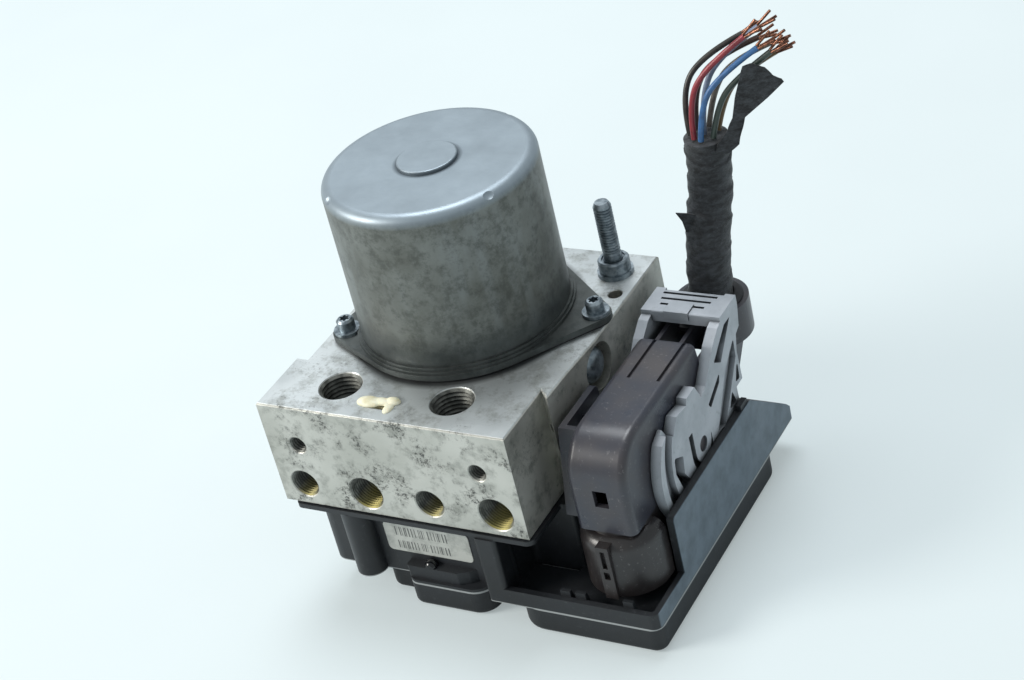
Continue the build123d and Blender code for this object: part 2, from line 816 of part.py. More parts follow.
def tray_outline(inset=0.0):
    """Corner points of the connector tray, drawn in by an inset along its outer edges."""
    points = [
        (pillar_left_x + 2.0, tray_front_y + inset),
        (tray_right_x - inset, tray_front_y + inset),
        (tray_right_x - inset, tray_rear_y - inset),
        (rear_right_x - 2.0, tray_rear_y - inset),
        (rear_right_x - 2.0, tray_wall_y - 2.0),
        (pillar_left_x + 2.0, tray_wall_y - 2.0),
    ]
    corner = max(tray_corner_r - inset, 0.8)
    return points, [0, corner, corner, 0, 0, 0]


def stadium(half, y0, y1, z0, z1):
    """Upright prism with round ends about the plug's middle line."""
    return plan(rectangle(plug_x - half, plug_x + half, y0, y1), z0, z1, half - 0.02)


def shroud_half():
    return hood_half - skirt_wall - shroud_gap


shroud_front_y = skirt_front_y + skirt_half - shroud_half() - 1.0
shroud_rear_y = 27.0


def pin_places():
    """Centres of the small header pins."""
    first = shroud_front_y + shroud_half() + 0.6
    places = []
    for row in range(pin_rows):
        x = plug_x + (row - (pin_rows - 1) / 2) * pin_row_pitch
        for i in range(pins_per_row):
            places.append((x, first + i * pin_pitch))
    return places


def blade_places():
    """Centres of the wide supply blades."""
    first = shroud_front_y + shroud_half() + 0.6 + pins_per_row * pin_pitch + 2.5
    return [(plug_x + x, first + y) for x in (-2.6, 2.6) for y in (0.0, 8.0)]


def pin_solids(clearance, z0, z1):
    """Header pins and blades as square posts, grown by a clearance."""
    half = pin_size / 2 + clearance
    blade_half = 2.6 + clearance
    pins = [slab(x - half, x + half, y - half, y + half, z0, z1) for x, y in pin_places()]
    pins += [slab(x - half, x + half, y - blade_half, y + blade_half, z0, z1) for x, y in blade_places()]
    return pins


def screw_columns():
    """Centres of the four columns that hold the housing to the block."""
    return [(column_x, column_y + 1.0), (-35.5, 37.5), (40.5, 37.5), (pillar_screw_x, -50.0)]


def screw_reach(x):
    """How far a housing screw goes into the block; the one beside a port is short."""
    return 3.2 if x == pillar_screw_x else ecu_screw_reach


def make_housing():
    points, radii = body_outline()
    shape = plan(points, joint_z, plate_bottom, radii)
    plate = [
        (rear_left_x - 0.9, front_y - plate_overhang),
        (front_right_x + 1.0, front_y - plate_overhang),
        (front_right_x + 1.0, tray_wall_y),
        (rear_right_x + plate_overhang, tray_wall_y),
        (rear_right_x + plate_overhang, body_rear_y),
        (rear_left_x - 0.9, body_rear_y),
    ]
    shape += plan(plate, plate_bottom, plate_top, [2.0, 3.0, 1.0, 1.0, 2.0, 2.0])
    shape += post(column_x, column_y, joint_z, plate_bottom, column_r)
    ledge = [
        (ledge_left_x, body_front_y + 1.0),
        (ledge_left_x, ledge_front_y),
        (ledge_right_x, ledge_front_y),
        (ledge_right_x + 3.6, ledge_front_y + 1.8),
        (ledge_right_x + 6.6, body_front_y + 1.0),
    ]
    shape += plan(ledge, joint_z, ledge_top_z, [0, 1.0, 1.0, 1.0, 0])
    lip = [(hump_left_x, body_front_y + 4.0), (hump_left_x, hump_front_y), (hump_right_x, hump_front_y),
           (hump_right_x, body_front_y + 4.0)]
    shape += plan(lip, joint_z, joint_z + lip_height, [0, 4.0, hump_corner_r, 0])
    # connector tray: floor, rim, side wall and the wall beside the block
    points, radii = tray_outline()
    inner_points, inner_radii = tray_outline(rim_thickness)
    rim = plan(points, joint_z, rim_top_z, radii) - plan(inner_points, tray_floor_z, rim_top_z + 1.0, inner_radii)
    shape += rim
    side_wall = [
        (side_wall_front_y, joint_z),
        (side_wall_front_y, side_wall_top_z),
        (side_wall_slope_y, side_wall_top_z),
        (tray_rear_y - 2.4, side_wall_rear_z + 2.6),
        (tray_rear_y, side_wall_rear_z),
        (tray_rear_y, joint_z),
    ]
    shape += side(side_wall, right_wall_x, tray_right_x, [0, 1.5, 3.0, 2.0, 0, 0])
    shape += side([(17.0, 30.0), (17.6, side_wall_top_z + 1.9), (22.4, side_wall_top_z + 1.9), (23.0, 30.0)],
                  right_wall_x + 0.4, tray_right_x - 0.4)
    guide = [(side_wall_front_y, tray_floor_z), (side_wall_front_y, side_wall_top_z - 0.3),
             (20.0, side_wall_top_z - 0.3), (30.0, tray_floor_z)]
    shape += side(guide, rear_right_x - 1.0, guide_wall_x + guide_wall_thickness, [0, 1.5, 3.0, 0])
    # inside of the box, open to the block above and to the board below
    low = chamber_floor_z
    right_inner = rear_right_x - housing_wall
    shape -= plan(rectangle(body_left_x + housing_wall, right_inner, tray_wall_y + housing_wall,
                            body_rear_y - housing_wall), low, plate_bottom, 3.0)
    shape -= plan(rectangle(body_left_x + housing_wall, pillar_left_x - housing_wall, body_front_y + housing_wall,
                            tray_wall_y + housing_wall + 4.0), low, plate_bottom, 3.0)
    shape -= plan(rectangle(-36.0, 36.0, -31.5, 40.0), plate_bottom - 1.0, plate_top + 1.0, 2.0)
    shape -= plan(rectangle(cover_left_x + 4.5, right_inner - 2.0, tray_wall_y + 4.0, 31.0), joint_z - 1.0, low + 1.0, 2.0)
    for x, y in screw_columns():
        column = post(x, y, joint_z, plate_top, 4.0)
        shape += column
    for x, y in screw_columns():
        shape -= post(x, y, joint_z - 1.0, plate_top + 1.0, ecu_screw_r)
        shape -= post(x, y, joint_z - 1.0, joint_z + 3.0, ecu_screw_head_r + 0.2)
    # header shroud with its pins' holes, clips along the front rim and the two cam pins of the lever
    outer = stadium(shroud_half(), shroud_front_y, shroud_rear_y, tray_floor_z - 0.5, shroud_top_z)
    inner = stadium(shroud_half() - shroud_wall, shroud_front_y + shroud_wall, shroud_rear_y - shroud_wall,
                    tray_floor_z, shroud_top_z + 1.0)
    shape += outer - inner
    for x in clip_x:
        clip = side([(tray_front_y + 2.0, tray_floor_z), (tray_front_y + 2.0, clip_top_z), (tray_front_y + 3.2, clip_top_z),
                     (tray_front_y + 4.8, tray_floor_z)], x, x + clip_width)
        shape += clip
    pin_y = hub_y + cam_pin_y
    pin_z = hub_z + cam_pin_z
    shape += rod_x(pin_y, pin_z, right_wall_x - cam_pin_length, right_wall_x + 0.5, cam_pin_r)
    left_face = guide_wall_x + guide_wall_thickness
    shape += rod_x(pin_y, pin_z, left_face - 0.5, left_face + cam_pin_length, cam_pin_r)
    for pin in pin_solids(0.0, joint_z - 1.0, tray_floor_z + 1.0):
        shape -= pin
    return shape


def make_housing_gasket():
    """Seal between the housing's plate and the block."""
    outline_points = rectangle(rear_left_x + 0.4, front_right_x - 0.6, front_y + 0.9, rear_y - 0.6)
    gasket = plan(outline_points, plate_top, block_bottom, 2.0)
    gasket -= plan(rectangle(-36.0, 36.0, -31.5, 40.0), plate_top - 1.0, block_bottom + 1.0, 2.0)
    for x, y in screw_columns():
        gasket -= post(x, y, plate_top - 1.0, block_bottom + 1.0, ecu_screw_r)
    return gasket


def cover_outline():
    """Corner points of the cover and their radii."""
    points = [
        (cover_left_x, cover_front_y),
        (hump_left_x, cover_front_y),
        (hump_left_x, hump_front_y),
        (hump_right_x, hump_front_y),
        (hump_right_x, cover_notch_y),
        (tub_left_x, cover_notch_y),
        (tub_left_x, tray_front_y),
        (tray_right_x, tray_front_y),
        (tray_right_x, cover_rear_y),
        (cover_left_x, cover_rear_y),
    ]
    return points, [4.0, 1.5, 4.0, hump_corner_r, 1.6, 1.6, tub_corner_r, 4.0, 6.0, 5.0]


def make_cover():
    points, radii = cover_outline()
    shape = plan(points, 0.0, joint_z, radii)
    shape = fillet(shape.faces().sort_by(Axis.Z)[0].edges(), cover_round)
    face = outline(points, radii)
    cavity = extrude(Pos(0, 0, cover_wall) * offset(face, -cover_wall), joint_z, dir=(0, 0, 1))
    groove = Pos(0, 0, joint_z - cover_seal_height) * extrude(offset(face, -cover_seal_inset), 2.0, dir=(0, 0, 1))
    groove -= Pos(0, 0, 0) * extrude(offset(face, -cover_seal_inset - cover_seal_width), 20.0, dir=(0, 0, 1))
    shape -= cavity
    shape -= groove
    for x, y in board_posts():
        shape += post(x, y, cover_wall - 0.5, board_z, 2.6)
        shape += post(x, y, board_z, board_z + board_thickness + 1.0, board_pin_r)
    return shape


def make_cover_seal():
    points, radii = cover_outline()
    face = outline(points, radii)
    seal = Pos(0, 0, joint_z - cover_seal_height) * extrude(offset(face, -cover_seal_inset), cover_seal_height,
                                                            dir=(0, 0, 1))
    return seal - extrude(offset(face, -cover_seal_inset - cover_seal_width), 20.0, dir=(0, 0, 1))


def make_board():
    """Circuit board across the cover, with its larger components and its posts on the cover's floor."""
    low_x = cover_left_x + cover_wall + board_margin
    high_x = tray_right_x - cover_wall - board_margin
    high_y = cover_rear_y - cover_wall - board_margin
    board = plan(rectangle(low_x, high_x, cover_notch_y + cover_wall + board_margin, high_y), board_z,
                 board_z + board_thickness, 2.0)
    for x, y, width, depth in ((2.0, -2.0, 14.0, 14.0), (24.0, 2.0, 10.0, 12.0), (-10.0, 4.0, 8.0, 10.0)):
        board += slab(x - width / 2, x + width / 2, y - depth / 2, y + depth / 2, board_z + board_thickness - 0.1,
                      board_z + board_thickness + 1.8)
    for x, y in board_posts():
        board -= post(x, y, board_z - 1.0, board_z + board_thickness + 1.0, board_pin_r)
    for pin in pin_solids(0.0, board_z - 1.0, board_z + board_thickness + 1.0):
        board -= pin
    return board


def board_posts():
    """Centres of the cover's posts that carry the board."""
    return [(-14.0, -38.0), (-14.0, 28.0), (44.0, -36.0), (44.0, 27.0), (76.0, -36.0), (76.0, 27.0)]


def make_ecu_screws():
    screws = []
    for x, y in screw_columns():
        length = block_bottom + screw_reach(x) - (joint_z + 3.0)
        screw = Rot(180, 0, 0) * torx_screw(ecu_screw_r, length, ecu_screw_head_r, 2.8)
        screws.append(Pos(x, y, joint_z + 3.0) * screw)
    return group(screws)


def make_header_pins():
    return group(pin_solids(0.0, board_z - 0.6, pin_top_z))


def make_pressure_sensor():
    body = post(0, sensor_y, board_z + board_thickness + 9.0, block_bottom, 5.4)
    stem = post(0, sensor_y, block_bottom, block_bottom + sensor_depth - 0.5, sensor_r)
    contacts = [post(x, sensor_y - 3.0, board_z + board_thickness, board_z + board_thickness + 9.5, 0.5)
                for x in (-2.4, 0.0, 2.4)]
    for contact in contacts:
        body += contact
    return body + stem


def make_label():
    face = outline([(label_left_x, label_bottom_z), (label_right_x, label_bottom_z), (label_right_x, label_top_z),
                    (label_left_x, label_top_z)], 1.6)
    plate = extrude(Plane.XZ * face, label_thickness, dir=(0, -1, 0))
    return Pos(0, body_front_y, 0) * plate


def make_vent_cap():
    y = (ledge_front_y + body_front_y) / 2
    dome = Pos(vent_cap_x, y, ledge_top_z) * Sphere(vent_cap_r)
    keep = slab(vent_cap_x - 5, vent_cap_x + 5, ledge_front_y, body_front_y, ledge_top_z, ledge_top_z + 5)
    return dome & keep


def make_sealant():
    """Smear of sealing compound beside the left top port."""
    points = ((-13.5, -48.4), (-11.8, -45.4), (-5.0, -46.2), (-0.6, -44.8), (0.8, -47.8), (1.6, -53.6), (-0.6, -53.8),
              (-2.8, -51.2), (-9.3, -51.6))
    return chamfer(plan(points, block_top, block_top + 1.3, 0.6).faces().sort_by(Axis.Z)[-1].edges(), 0.4)


# ---------------------------------------------------------------- harness plug
def make_plug_body():
    skirt = stadium(hood_half, skirt_front_y + 2.0, shroud_rear_y + shroud_gap + skirt_wall, skirt_bottom_z, skirt_top_z)
    full = stadium(skirt_half, skirt_front_y, skirt_rear_y, skirt_bottom_z, skirt_top_z)
    skirt += full & slab(plug_x - 20, plug_x + 20, skirt_rear_y - skirt_half - 4.6, skirt_rear_y + 1, 0, 60)
    dome = stadium(skirt_half, skirt_front_y, skirt_rear_y, skirt_bottom_z, hood_lip_z - 1.2)
    dome = fillet(dome.faces().sort_by(Axis.Z)[-1].edges(), 4.5)
    dome &= slab(plug_x - 20, plug_x + 20, skirt_front_y - 1, dome_rear_y - 0.6, 0, 60)
    core = stadium(hood_half, hood_front_y, skirt_rear_y - 3.0, skirt_top_z, hood_lip_z)
    core -= stadium(hood_half - hood_wall, hood_front_y + hood_wall, skirt_rear_y - 3.0 - hood_wall, skirt_top_z + 2.0,
                    hood_lip_z + 1.0)
    strap = slab(plug_x - strap_width / 2, plug_x + strap_width / 2, skirt_front_y - strap_thickness,
                 skirt_front_y + 4.0, skirt_bottom_z, hood_lip_z - 2.0)
    strap -= slab(plug_x - 0.8, plug_x + 0.8, skirt_front_y - 5.0, skirt_front_y + 1.0, 27.4, hood_lip_z - 3.6)
    strap -= slab(plug_x - 1.0, plug_x + 1.0, skirt_front_y - 5.0, skirt_front_y + 2.0, 23.2, 26.0)
    shape = skirt + dome + core + strap
    # room for the shroud, then the insert that carries the terminals
    half = hood_half - skirt_wall
    front = shroud_front_y - shroud_gap
    rear = shroud_rear_y + shroud_gap
    shape -= stadium(half, front, rear, skirt_bottom_z - 1.0, skirt_top_z - 0.2)
    insert_half = shroud_half() - shroud_wall - insert_gap
    insert = stadium(insert_half, shroud_front_y + shroud_wall + insert_gap, shroud_rear_y - shroud_wall - insert_gap,
                     core_bottom_z, skirt_top_z + 1.0)
    for pin in pin_solids(0.3, core_bottom_z - 1.0, terminal_bottom_z):
        insert -= pin
    shape += insert
    for terminal in terminal_solids():
        shape -= terminal
    return shape


def terminal_solids():
    """Crimp terminals above the header pins."""
    half = 0.9
    solids = [slab(x - half, x + half, y - half, y + half, terminal_bottom_z, terminal_top_z) for x, y in pin_places()]
    solids += [slab(x - half, x + half, y - 2.8, y + 2.8, terminal_bottom_z, terminal_top_z) for x, y in blade_places()]
    return solids


def make_plug_seal():
    """Lip seal in the plug, just above the shroud's rim."""
    insert_half = shroud_half() - shroud_wall - insert_gap
    outer = stadium(hood_half - skirt_wall, shroud_front_y - shroud_gap, shroud_rear_y + shroud_gap,
                    shroud_top_z + 0.4, skirt_top_z - 0.2)
    inner = stadium(insert_half, shroud_front_y + shroud_wall + insert_gap, shroud_rear_y - shroud_wall - insert_gap,
                    shroud_top_z, skirt_top_z)
    return outer - inner


def hood_profile(inset=0.0):
    """Side outline of the hood, drawn in by the wall on its inside."""
    return [
        (hood_front_y + inset, hood_lip_z - (5.0 if inset else 0.0)),
        (hood_front_y + inset, hood_top_z - inset),
        (hood_deck_y - inset, hood_top_z - inset),
        (hood_deck_y + 1.4 - inset, hood_deck_z - inset),
        (outlet_y, hood_deck_z - inset),
        (outlet_y, outlet_bottom_z + inset),
        (skirt_rear_y - 3.0 - inset, hood_lip_z - (5.0 if inset else 0.0)),
    ]


def make_plug_hood():
    left = plug_x - hood_half
    right = plug_x + hood_half
    shape = side(hood_profile(), left, right, [0, hood_front_round, 2.5, 0, 0, 0, 0])
    rounded = []
    for edge in shape.edges():
        middle = edge @ 0.5
        on_flank = min(abs(middle.X - left), abs(middle.X - right)) < 0.01
        if on_flank and middle.Z > hood_deck_z + 1.0 and middle.Y < hood_deck_y - 0.5:
            rounded.append(edge)
    shape = fillet(rounded, 2.4)
    shape += post(plug_x, outlet_y, outlet_bottom_z, outlet_top_z, outlet_r)
    hollow = side(hood_profile(hood_wall), left + hood_wall, right - hood_wall,
                  [0, hood_front_round - hood_wall, 1.2, 0, 0, 0, 0])
    hollow += post(plug_x, outlet_y, outlet_bottom_z + hood_wall, outlet_top_z + 1.0, outlet_r - outlet_wall)
    shape -= hollow
    # window in the front, grooves along the roof and openings with rails on the rear deck
    shape -= slab(window_x - window_width / 2, window_x + window_width / 2, hood_front_y - 1.0,
                  hood_front_y + hood_wall + 1.0, window_bottom_z, window_top_z)
    for x in (plug_x - 3.5, plug_x + 6.5):
        shape -= slab(x - 0.6, x + 0.6, -12.4, hood_deck_y - 1.0, hood_top_z - 1.0, hood_top_z + 1.0)
    for x0, x1 in ((left + 3.4, plug_x - 0.6), (plug_x + 2.4, right - 2.6)):
        shape -= slab(x0, x1, hood_deck_y + 3.0, outlet_y - outlet_r - 2.0, hood_deck_z - 3.0, hood_deck_z + 1.0)
    for x in (left + 2.6, plug_x + 1.2):
        shape += slab(x, x + 1.4, hood_deck_y + 1.0, outlet_y - outlet_r - 0.6, hood_deck_z - 1.0, hood_deck_z + 4.0)
    # guard on the flank beside the block, with its sloping front
    guard = [(hood_front_y + 5.0, hood_lip_z), (-37.0, flank_top_z), (-14.0, flank_top_z), (-14.0, hood_lip_z)]
    shape += side(guard, flank_x, flank_x + flank_thickness, [0, 1.5, 2.0, 0])
    front = [(hood_front_y + 5.0, hood_lip_z), (-37.0, flank_top_z), (-35.2, flank_top_z), (hood_front_y + 7.0, hood_lip_z)]
    shape += side(front, flank_x, left + 0.5)
    # pivots of the lever, recessed in its hubs
    for x0, x1 in ((plug_x - lever_outer_half + 0.7, left + 1.0), (right - 1.0, plug_x + lever_outer_half - 0.7)):
        shape += rod_x(hub_y, hub_z, x0, x1, pivot_r)
    return shape


# ---------------------------------------------------------------- lever
def about_hub(points):
    """(y, z) points measured from the lever's hub, moved to their place."""
    return [(hub_y + y, hub_z + z) for y, z in points]


def swept_slot(x0, x1):
    """Cam slot: the path of the fixed pin seen from the lever while it swings and lifts the plug."""
    steps = 8
    places = []
    for i in range(steps + 1):
        angle = math.radians(lever_open_deg * i / steps)
        drop = plug_lift * i / steps
        y = cam_pin_y * math.cos(angle) + (cam_pin_z - drop) * math.sin(angle)
        z = -cam_pin_y * math.sin(angle) + (cam_pin_z - drop) * math.cos(angle)
        places.append((hub_y + y, hub_z + z))
    half = cam_pin_r + cam_gap
    path = Spline(*places)
    heading = path % 1
    mouth = path @ 1 + heading * 8.0
    ribbon = trace(path, half * 2) + trace(Line(path @ 1, mouth), half * 2)
    ribbon += Pos(*places[0]) * Circle(half)
    return Pos(x0, 0, 0) * extrude(Plane.YZ * ribbon, x1 - x0, dir=(1, 0, 0))


def lever_side():
    """Outline of one arm: the toothless cam sector round the hub, the web and the top that carries the crossbar."""
    rim_centre = Vector(hub_y - 5.3, hub_z + 3.4)
    rim_r = 23.8
    tip = Vector(*about_hub([(-24.6, 17.6)])[0])
    foot = Vector(*about_hub([(4.0, -18.3)])[0])
    start = (tip - rim_centre).normalized() * rim_r + rim_centre
    end = (foot - rim_centre).normalized() * rim_r + rim_centre
    sweep_edge = ThreePointArc(start, rim_centre + Vector(-rim_r, 0), end)
    rest = about_hub([
        (9.0, -9.0), (17.0, -7.5), (27.5, -4.0), (27.3, 2.0), (32.0, 2.0), (31.5, 13.0), (33.0, 18.5), (35.8, 19.7),
        (crossbar_rear, crossbar_bottom), (crossbar_rear, crossbar_top), (crossbar_front, crossbar_top),
        (crossbar_front, 29.0), (21.8, 28.3), (16.4, 24.8), (7.9, 16.3), (4.0, 15.0), (1.0, 21.0), (-5.0, 21.0),
        (-6.0, 19.0), (-13.0, 20.0), (-17.0, 15.5), (-19.4, 19.6),
    ])
    line = Polyline((end.X, end.Y), *rest, (start.X, start.Y))
    return make_face(sweep_edge + line)


def make_lever():
    inner = lever_inner_half
    outer = lever_outer_half
    pockets = [
        [(31.2, 29.6), (32.4, 28.0), (20.1, 16.6), (15.6, 19.6)],
        [(18.0, 14.4), (16.8, 11.4), (8.8, 7.4), (7.4, 9.4)],
        [(30.6, 18.4), (30.2, 11.8), (16.0, -4.8), (10.6, -3.2), (21.4, 12.0)],
        [(30.6, 12.5 - 1.6), (30.2, 3.4), (27.3, 3.8)],
        [(23.8, 2.8), (25.8, -2.7), (20.4, -1.9)],
    ]
    cavity = [(-19.0, 8.6), (-13.6, 5.6), (-14.6, -0.4), (-10.8, -6.4), (-16.2, -7.0), (-19.8, 3.2)]
    shape = None
    for sign in (-1, 1):
        x_in = plug_x + sign * inner
        x_out = plug_x + sign * outer
        low = min(x_in, x_out)
        high = max(x_in, x_out)
        arm = Pos(low, 0, 0) * extrude(Plane.YZ * lever_side(), high - low, dir=(1, 0, 0))
        shell = (min(x_out, x_out - sign * pocket_depth), max(x_out, x_out - sign * pocket_depth))
        for pocket in pockets:
            arm -= side(about_hub(pocket), shell[0] - 0.001, shell[1] + 0.001, 0.5)
        arm -= side(about_hub(cavity), low - 1.0, high + 1.0, 0.8)
        ring = rod_x(hub_y, hub_z, shell[0], shell[1], 8.2) - rod_x(hub_y, hub_z, shell[0], shell[1], 5.6)
        arm -= ring & slab(shell[0], shell[1], hub_y - 12, hub_y + 6.0, hub_z - 12, hub_z)
        arm -= slab(shell[0], shell[1], hub_y - 8.2, hub_y - 5.6, hub_z - 0.5, hub_z + 8.5)
        slot_bottom = x_out - sign * cam_depth
        arm -= swept_slot(min(x_out + sign, slot_bottom), max(x_out + sign, slot_bottom))
        arm -= rod_x(hub_y, hub_z, low - 1.0, high + 1.0, pivot_r + pivot_gap)
        shape = arm if shape is None else shape + arm
    bar = side(about_hub([(crossbar_front, crossbar_bottom), (crossbar_rear, crossbar_bottom),
                          (crossbar_rear, crossbar_top), (crossbar_front, crossbar_top)]),
               plug_x - outer, plug_x + outer, [0, 0, 1.5, 0.6])
    for i in range(3):
        y = hub_y + crossbar_rear - 2.6 - i * 3.0
        trim = 3.0 + i * 1.0
        bar -= slab(plug_x - outer + trim, plug_x + outer - trim - 2.0, y - 0.5, y + 0.5, hub_z + crossbar_top - 0.9,
                    hub_z + crossbar_top + 1.0)
    tab = side(about_hub([(crossbar_front - 0.4, crossbar_top - 2.4), (crossbar_front + 5.0, crossbar_top - 0.6),
                          (crossbar_front + 5.0, crossbar_top + 0.5), (crossbar_front - 0.4, crossbar_top + 0.5)]),
               plug_x - 5.5, plug_x + 2.8)
    return shape + bar + tab


# ---------------------------------------------------------------- harness
def bent_path(points):
    """Straight runs joined by arcs as large as the runs allow, with the radii and the length printed by the caller."""
    radii = []
    for i in range(1, len(points) - 1):
        before = Vector(*points[i]) - Vector(*points[i - 1])
        after = Vector(*points[i + 1]) - Vector(*points[i])
        turn = math.radians(before.get_angle(after))
        radii.append(0.45 * min(before.length, after.length) / math.tan(turn / 2))
    return FilletPolyline(*points, radius=radii), radii


def make_cord(name, points, r):
    path, radii = bent_path(points)
    tube = sweep(Plane(origin=path @ 0, z_dir=path % 0) * Circle(r), path=path)
    error = abs(tube.volume / (math.pi * r * r * path.length) - 1)
    print(name, "length", round(path.length, 1), "smallest radius", round(min(radii), 1), "volume error", round(error, 4))
    return tube


def wire_route(colour):
    start, *rest = wire_points[colour]
    return [(start[0], start[1], wire_start_z)] + list(rest)


def make_copper_ends():
    """Bare strands at each wire's cut end."""
    strands = []
    for colour in wire_points:
        route = wire_route(colour)
        tip = Vector(*route[-1])
        heading = (tip - Vector(*route[-2])).normalized()
        frame = Plane(origin=tip, z_dir=heading)
        for turn in (0, 120, 240):
            strands.append(frame * Rot(0, 0, turn) * Pos(0.6, 0, 0) * Rot(0, 12, 0) * Pos(0, 0, strand_length / 2 + 0.15)
                           * Cylinder(strand_r, strand_length))
    return group(strands)


def make_grommet():
    low = outlet_top_z - 4.5
    high = outlet_top_z + 1.2
    ring = post(plug_x, outlet_y, low, high, outlet_r - outlet_wall)
    top = chamfer(ring.edges().sort_by(Axis.Z)[-1], 0.8)
    return top


# ---------------------------------------------------------------- write every node
nodes = {
    "hydraulic_block": make_block(),
    "mounting_stud": make_stud(),
    "stud_collar": make_stud_collar(),
    "motor_can": make_motor_can(),
    "motor_gasket": make_motor_gasket(),
    "motor_screws": make_motor_screws(),
    "motor_magnets": make_magnets(),
    "brush_plate": make_brush_plate(),
    "motor_brushes": make_brushes(),
    "motor_leads": make_motor_leads(),
    "upper_bush": make_upper_bush(),
    "lower_bearing": make_lower_bearing(),
    "motor_shaft": make_shaft(),
    "armature_core": make_armature(),
    "armature_windings": make_windings(),
    "commutator": make_commutator(),
    "eccentric_ring": make_eccentric_ring(),
    "pump_plugs": make_pump_plugs(),
    "pump_pistons": make_pump_pistons(),
    "pump_sleeves": make_pump_sleeves(),
    "pump_springs": make_pump_springs(),
    "damper_caps": make_damper_caps(),
    "inlet_valves": make_valves(valve_rows_y[0]),
    "outlet_valves": make_valves(valve_rows_y[1]),
    "valve_coils": make_coils(),
    "accumulator_caps": make_accumulator_caps(),
    "accumulator_piston_left": accumulator_piston(accumulator_x[0]),
    "accumulator_piston_right": accumulator_piston(accumulator_x[1]),
    "accumulator_seal_left": accumulator_seal(accumulator_x[0]),
    "accumulator_seal_right": accumulator_seal(accumulator_x[1]),
    "accumulator_spring_left": accumulator_spring(accumulator_x[0]),
    "accumulator_spring_right": accumulator_spring(accumulator_x[1]),
    "ecu_housing": make_housing(),
    "ecu_cover": make_cover(),
    "cover_seal": make_cover_seal(),
    "housing_gasket": make_housing_gasket(),
    "circuit_board": make_board(),
    "ecu_screws": make_ecu_screws(),
    "header_pins": make_header_pins(),
    "pressure_sensor": make_pressure_sensor(),
    "label_plate": make_label(),
    "vent_cap": make_vent_cap(),
    "sealant_smear": make_sealant(),
    "plug_body": make_plug_body(),
    "plug_hood": make_plug_hood(),
    "plug_seal": make_plug_seal(),
    "plug_terminals": group(terminal_solids()),
    "outlet_grommet": make_grommet(),
    "lever": make_lever(),
    "harness_tape": make_cord("harness_tape", loom_points, loom_r),
    "copper_ends": make_copper_ends(),
}
for colour in wire_points:
    nodes["wire_" + colour] = make_cord("wire_" + colour, wire_route(colour), wire_r)
nodes["outlet_grommet"] -= nodes["harness_tape"]
for name, shape in nodes.items():
    save(name, shape)
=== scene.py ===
"""Looks of an anti-lock brake module: hydraulic block, pump motor, control unit and harness plug."""

import math

import bpy
from mathutils import Euler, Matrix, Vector


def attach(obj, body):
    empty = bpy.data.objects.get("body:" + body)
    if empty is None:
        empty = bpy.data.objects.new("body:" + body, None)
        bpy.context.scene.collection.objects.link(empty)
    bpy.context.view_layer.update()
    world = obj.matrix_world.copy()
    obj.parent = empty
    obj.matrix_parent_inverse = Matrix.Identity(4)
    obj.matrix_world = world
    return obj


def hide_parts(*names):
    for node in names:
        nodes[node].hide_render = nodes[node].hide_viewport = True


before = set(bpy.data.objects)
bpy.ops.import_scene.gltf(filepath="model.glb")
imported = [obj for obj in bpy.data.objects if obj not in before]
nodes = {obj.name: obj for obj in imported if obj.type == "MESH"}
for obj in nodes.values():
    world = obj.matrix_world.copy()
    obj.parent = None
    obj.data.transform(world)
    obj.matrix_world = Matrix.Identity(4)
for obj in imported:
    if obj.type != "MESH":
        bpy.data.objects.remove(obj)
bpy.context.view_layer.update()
MM = 0.001

# ---------------------------------------------------------------- sizes, in millimetres
block_top = 75.3
block_front_y = -56.5
joint_z = 9.3
wall_outer_x = 81.2
can_top = 133.6
boss_r = 9.6

# how far out the dirt lies by the motor's flange, up to what height the can darkens towards its bottom, where
# the can's top carries a painted highlight
flange_dirt_r = (37.0, 39.5)
can_dark_z = (84.0, 92.0)
can_highlight_z = (can_top - 4.0, can_top - 1.5)

# pipe ports and fixing holes; each thread is its pitch, length, start from the face and facets
wheel_port_z = 44.7
wheel_ports = ((-37.6, 5.0), (-14.3, 6.0), (9.0, 5.0), (32.6, 6.0))
top_ports = ((-23.3, -42.5, 7.0), (17.3, -42.5, 7.0))
fixing_holes = ((-35.5, 60.4), (29.9, 60.4))
fixing_hole_r = 3.0
thread_depth_share = 0.54
thread_clearance = 0.01
wheel_thread = (1.0, 12.5, -0.3, 40)
top_thread = (1.5, 13.0, -0.3, 48)
fixing_thread = (1.0, 10.5, -0.4, 32)

# mounting stud
stud_place = (37.8, 31.9)
stud_r = 3.0
stud_core_r = 2.5
stud_shoulder_r = 3.2
stud_bottom = block_top - 9.0
stud_shoulder_top = 81.1
stud_thread_start = 83.5
stud_pitch = 1.0
stud_top = 101.8

# the lobes of the sealant bead: x, y, half length, half width and height
sealant_lobes = ((-9.0, -48.4, 4.6, 2.7, 1.6), (-4.8, -47.6, 3.6, 1.9, 1.4), (-1.2, -46.8, 2.7, 1.8, 1.7),
                 (-1.2, -50.2, 1.7, 2.7, 0.9))

# print on the label: left and right end, then the bottom and top of each row of bars
label_print_x = (-11.5, 8.5)
label_rows = ((19.45, 22.65), (24.65, 28.25))

# taped loom
loom_r = 7.6
loom_points = ((65.0, 41.0, 54.0), (65.0, 41.6, 66.0), (65.0, 46.5, 82.0), (65.0, 57.0, 100.0),
               (65.0, 57.0, 113.0))
tape_lap = 9.5
tape_slant_deg = 24.0
tape_step = 0.55
tape_inset = 0.75

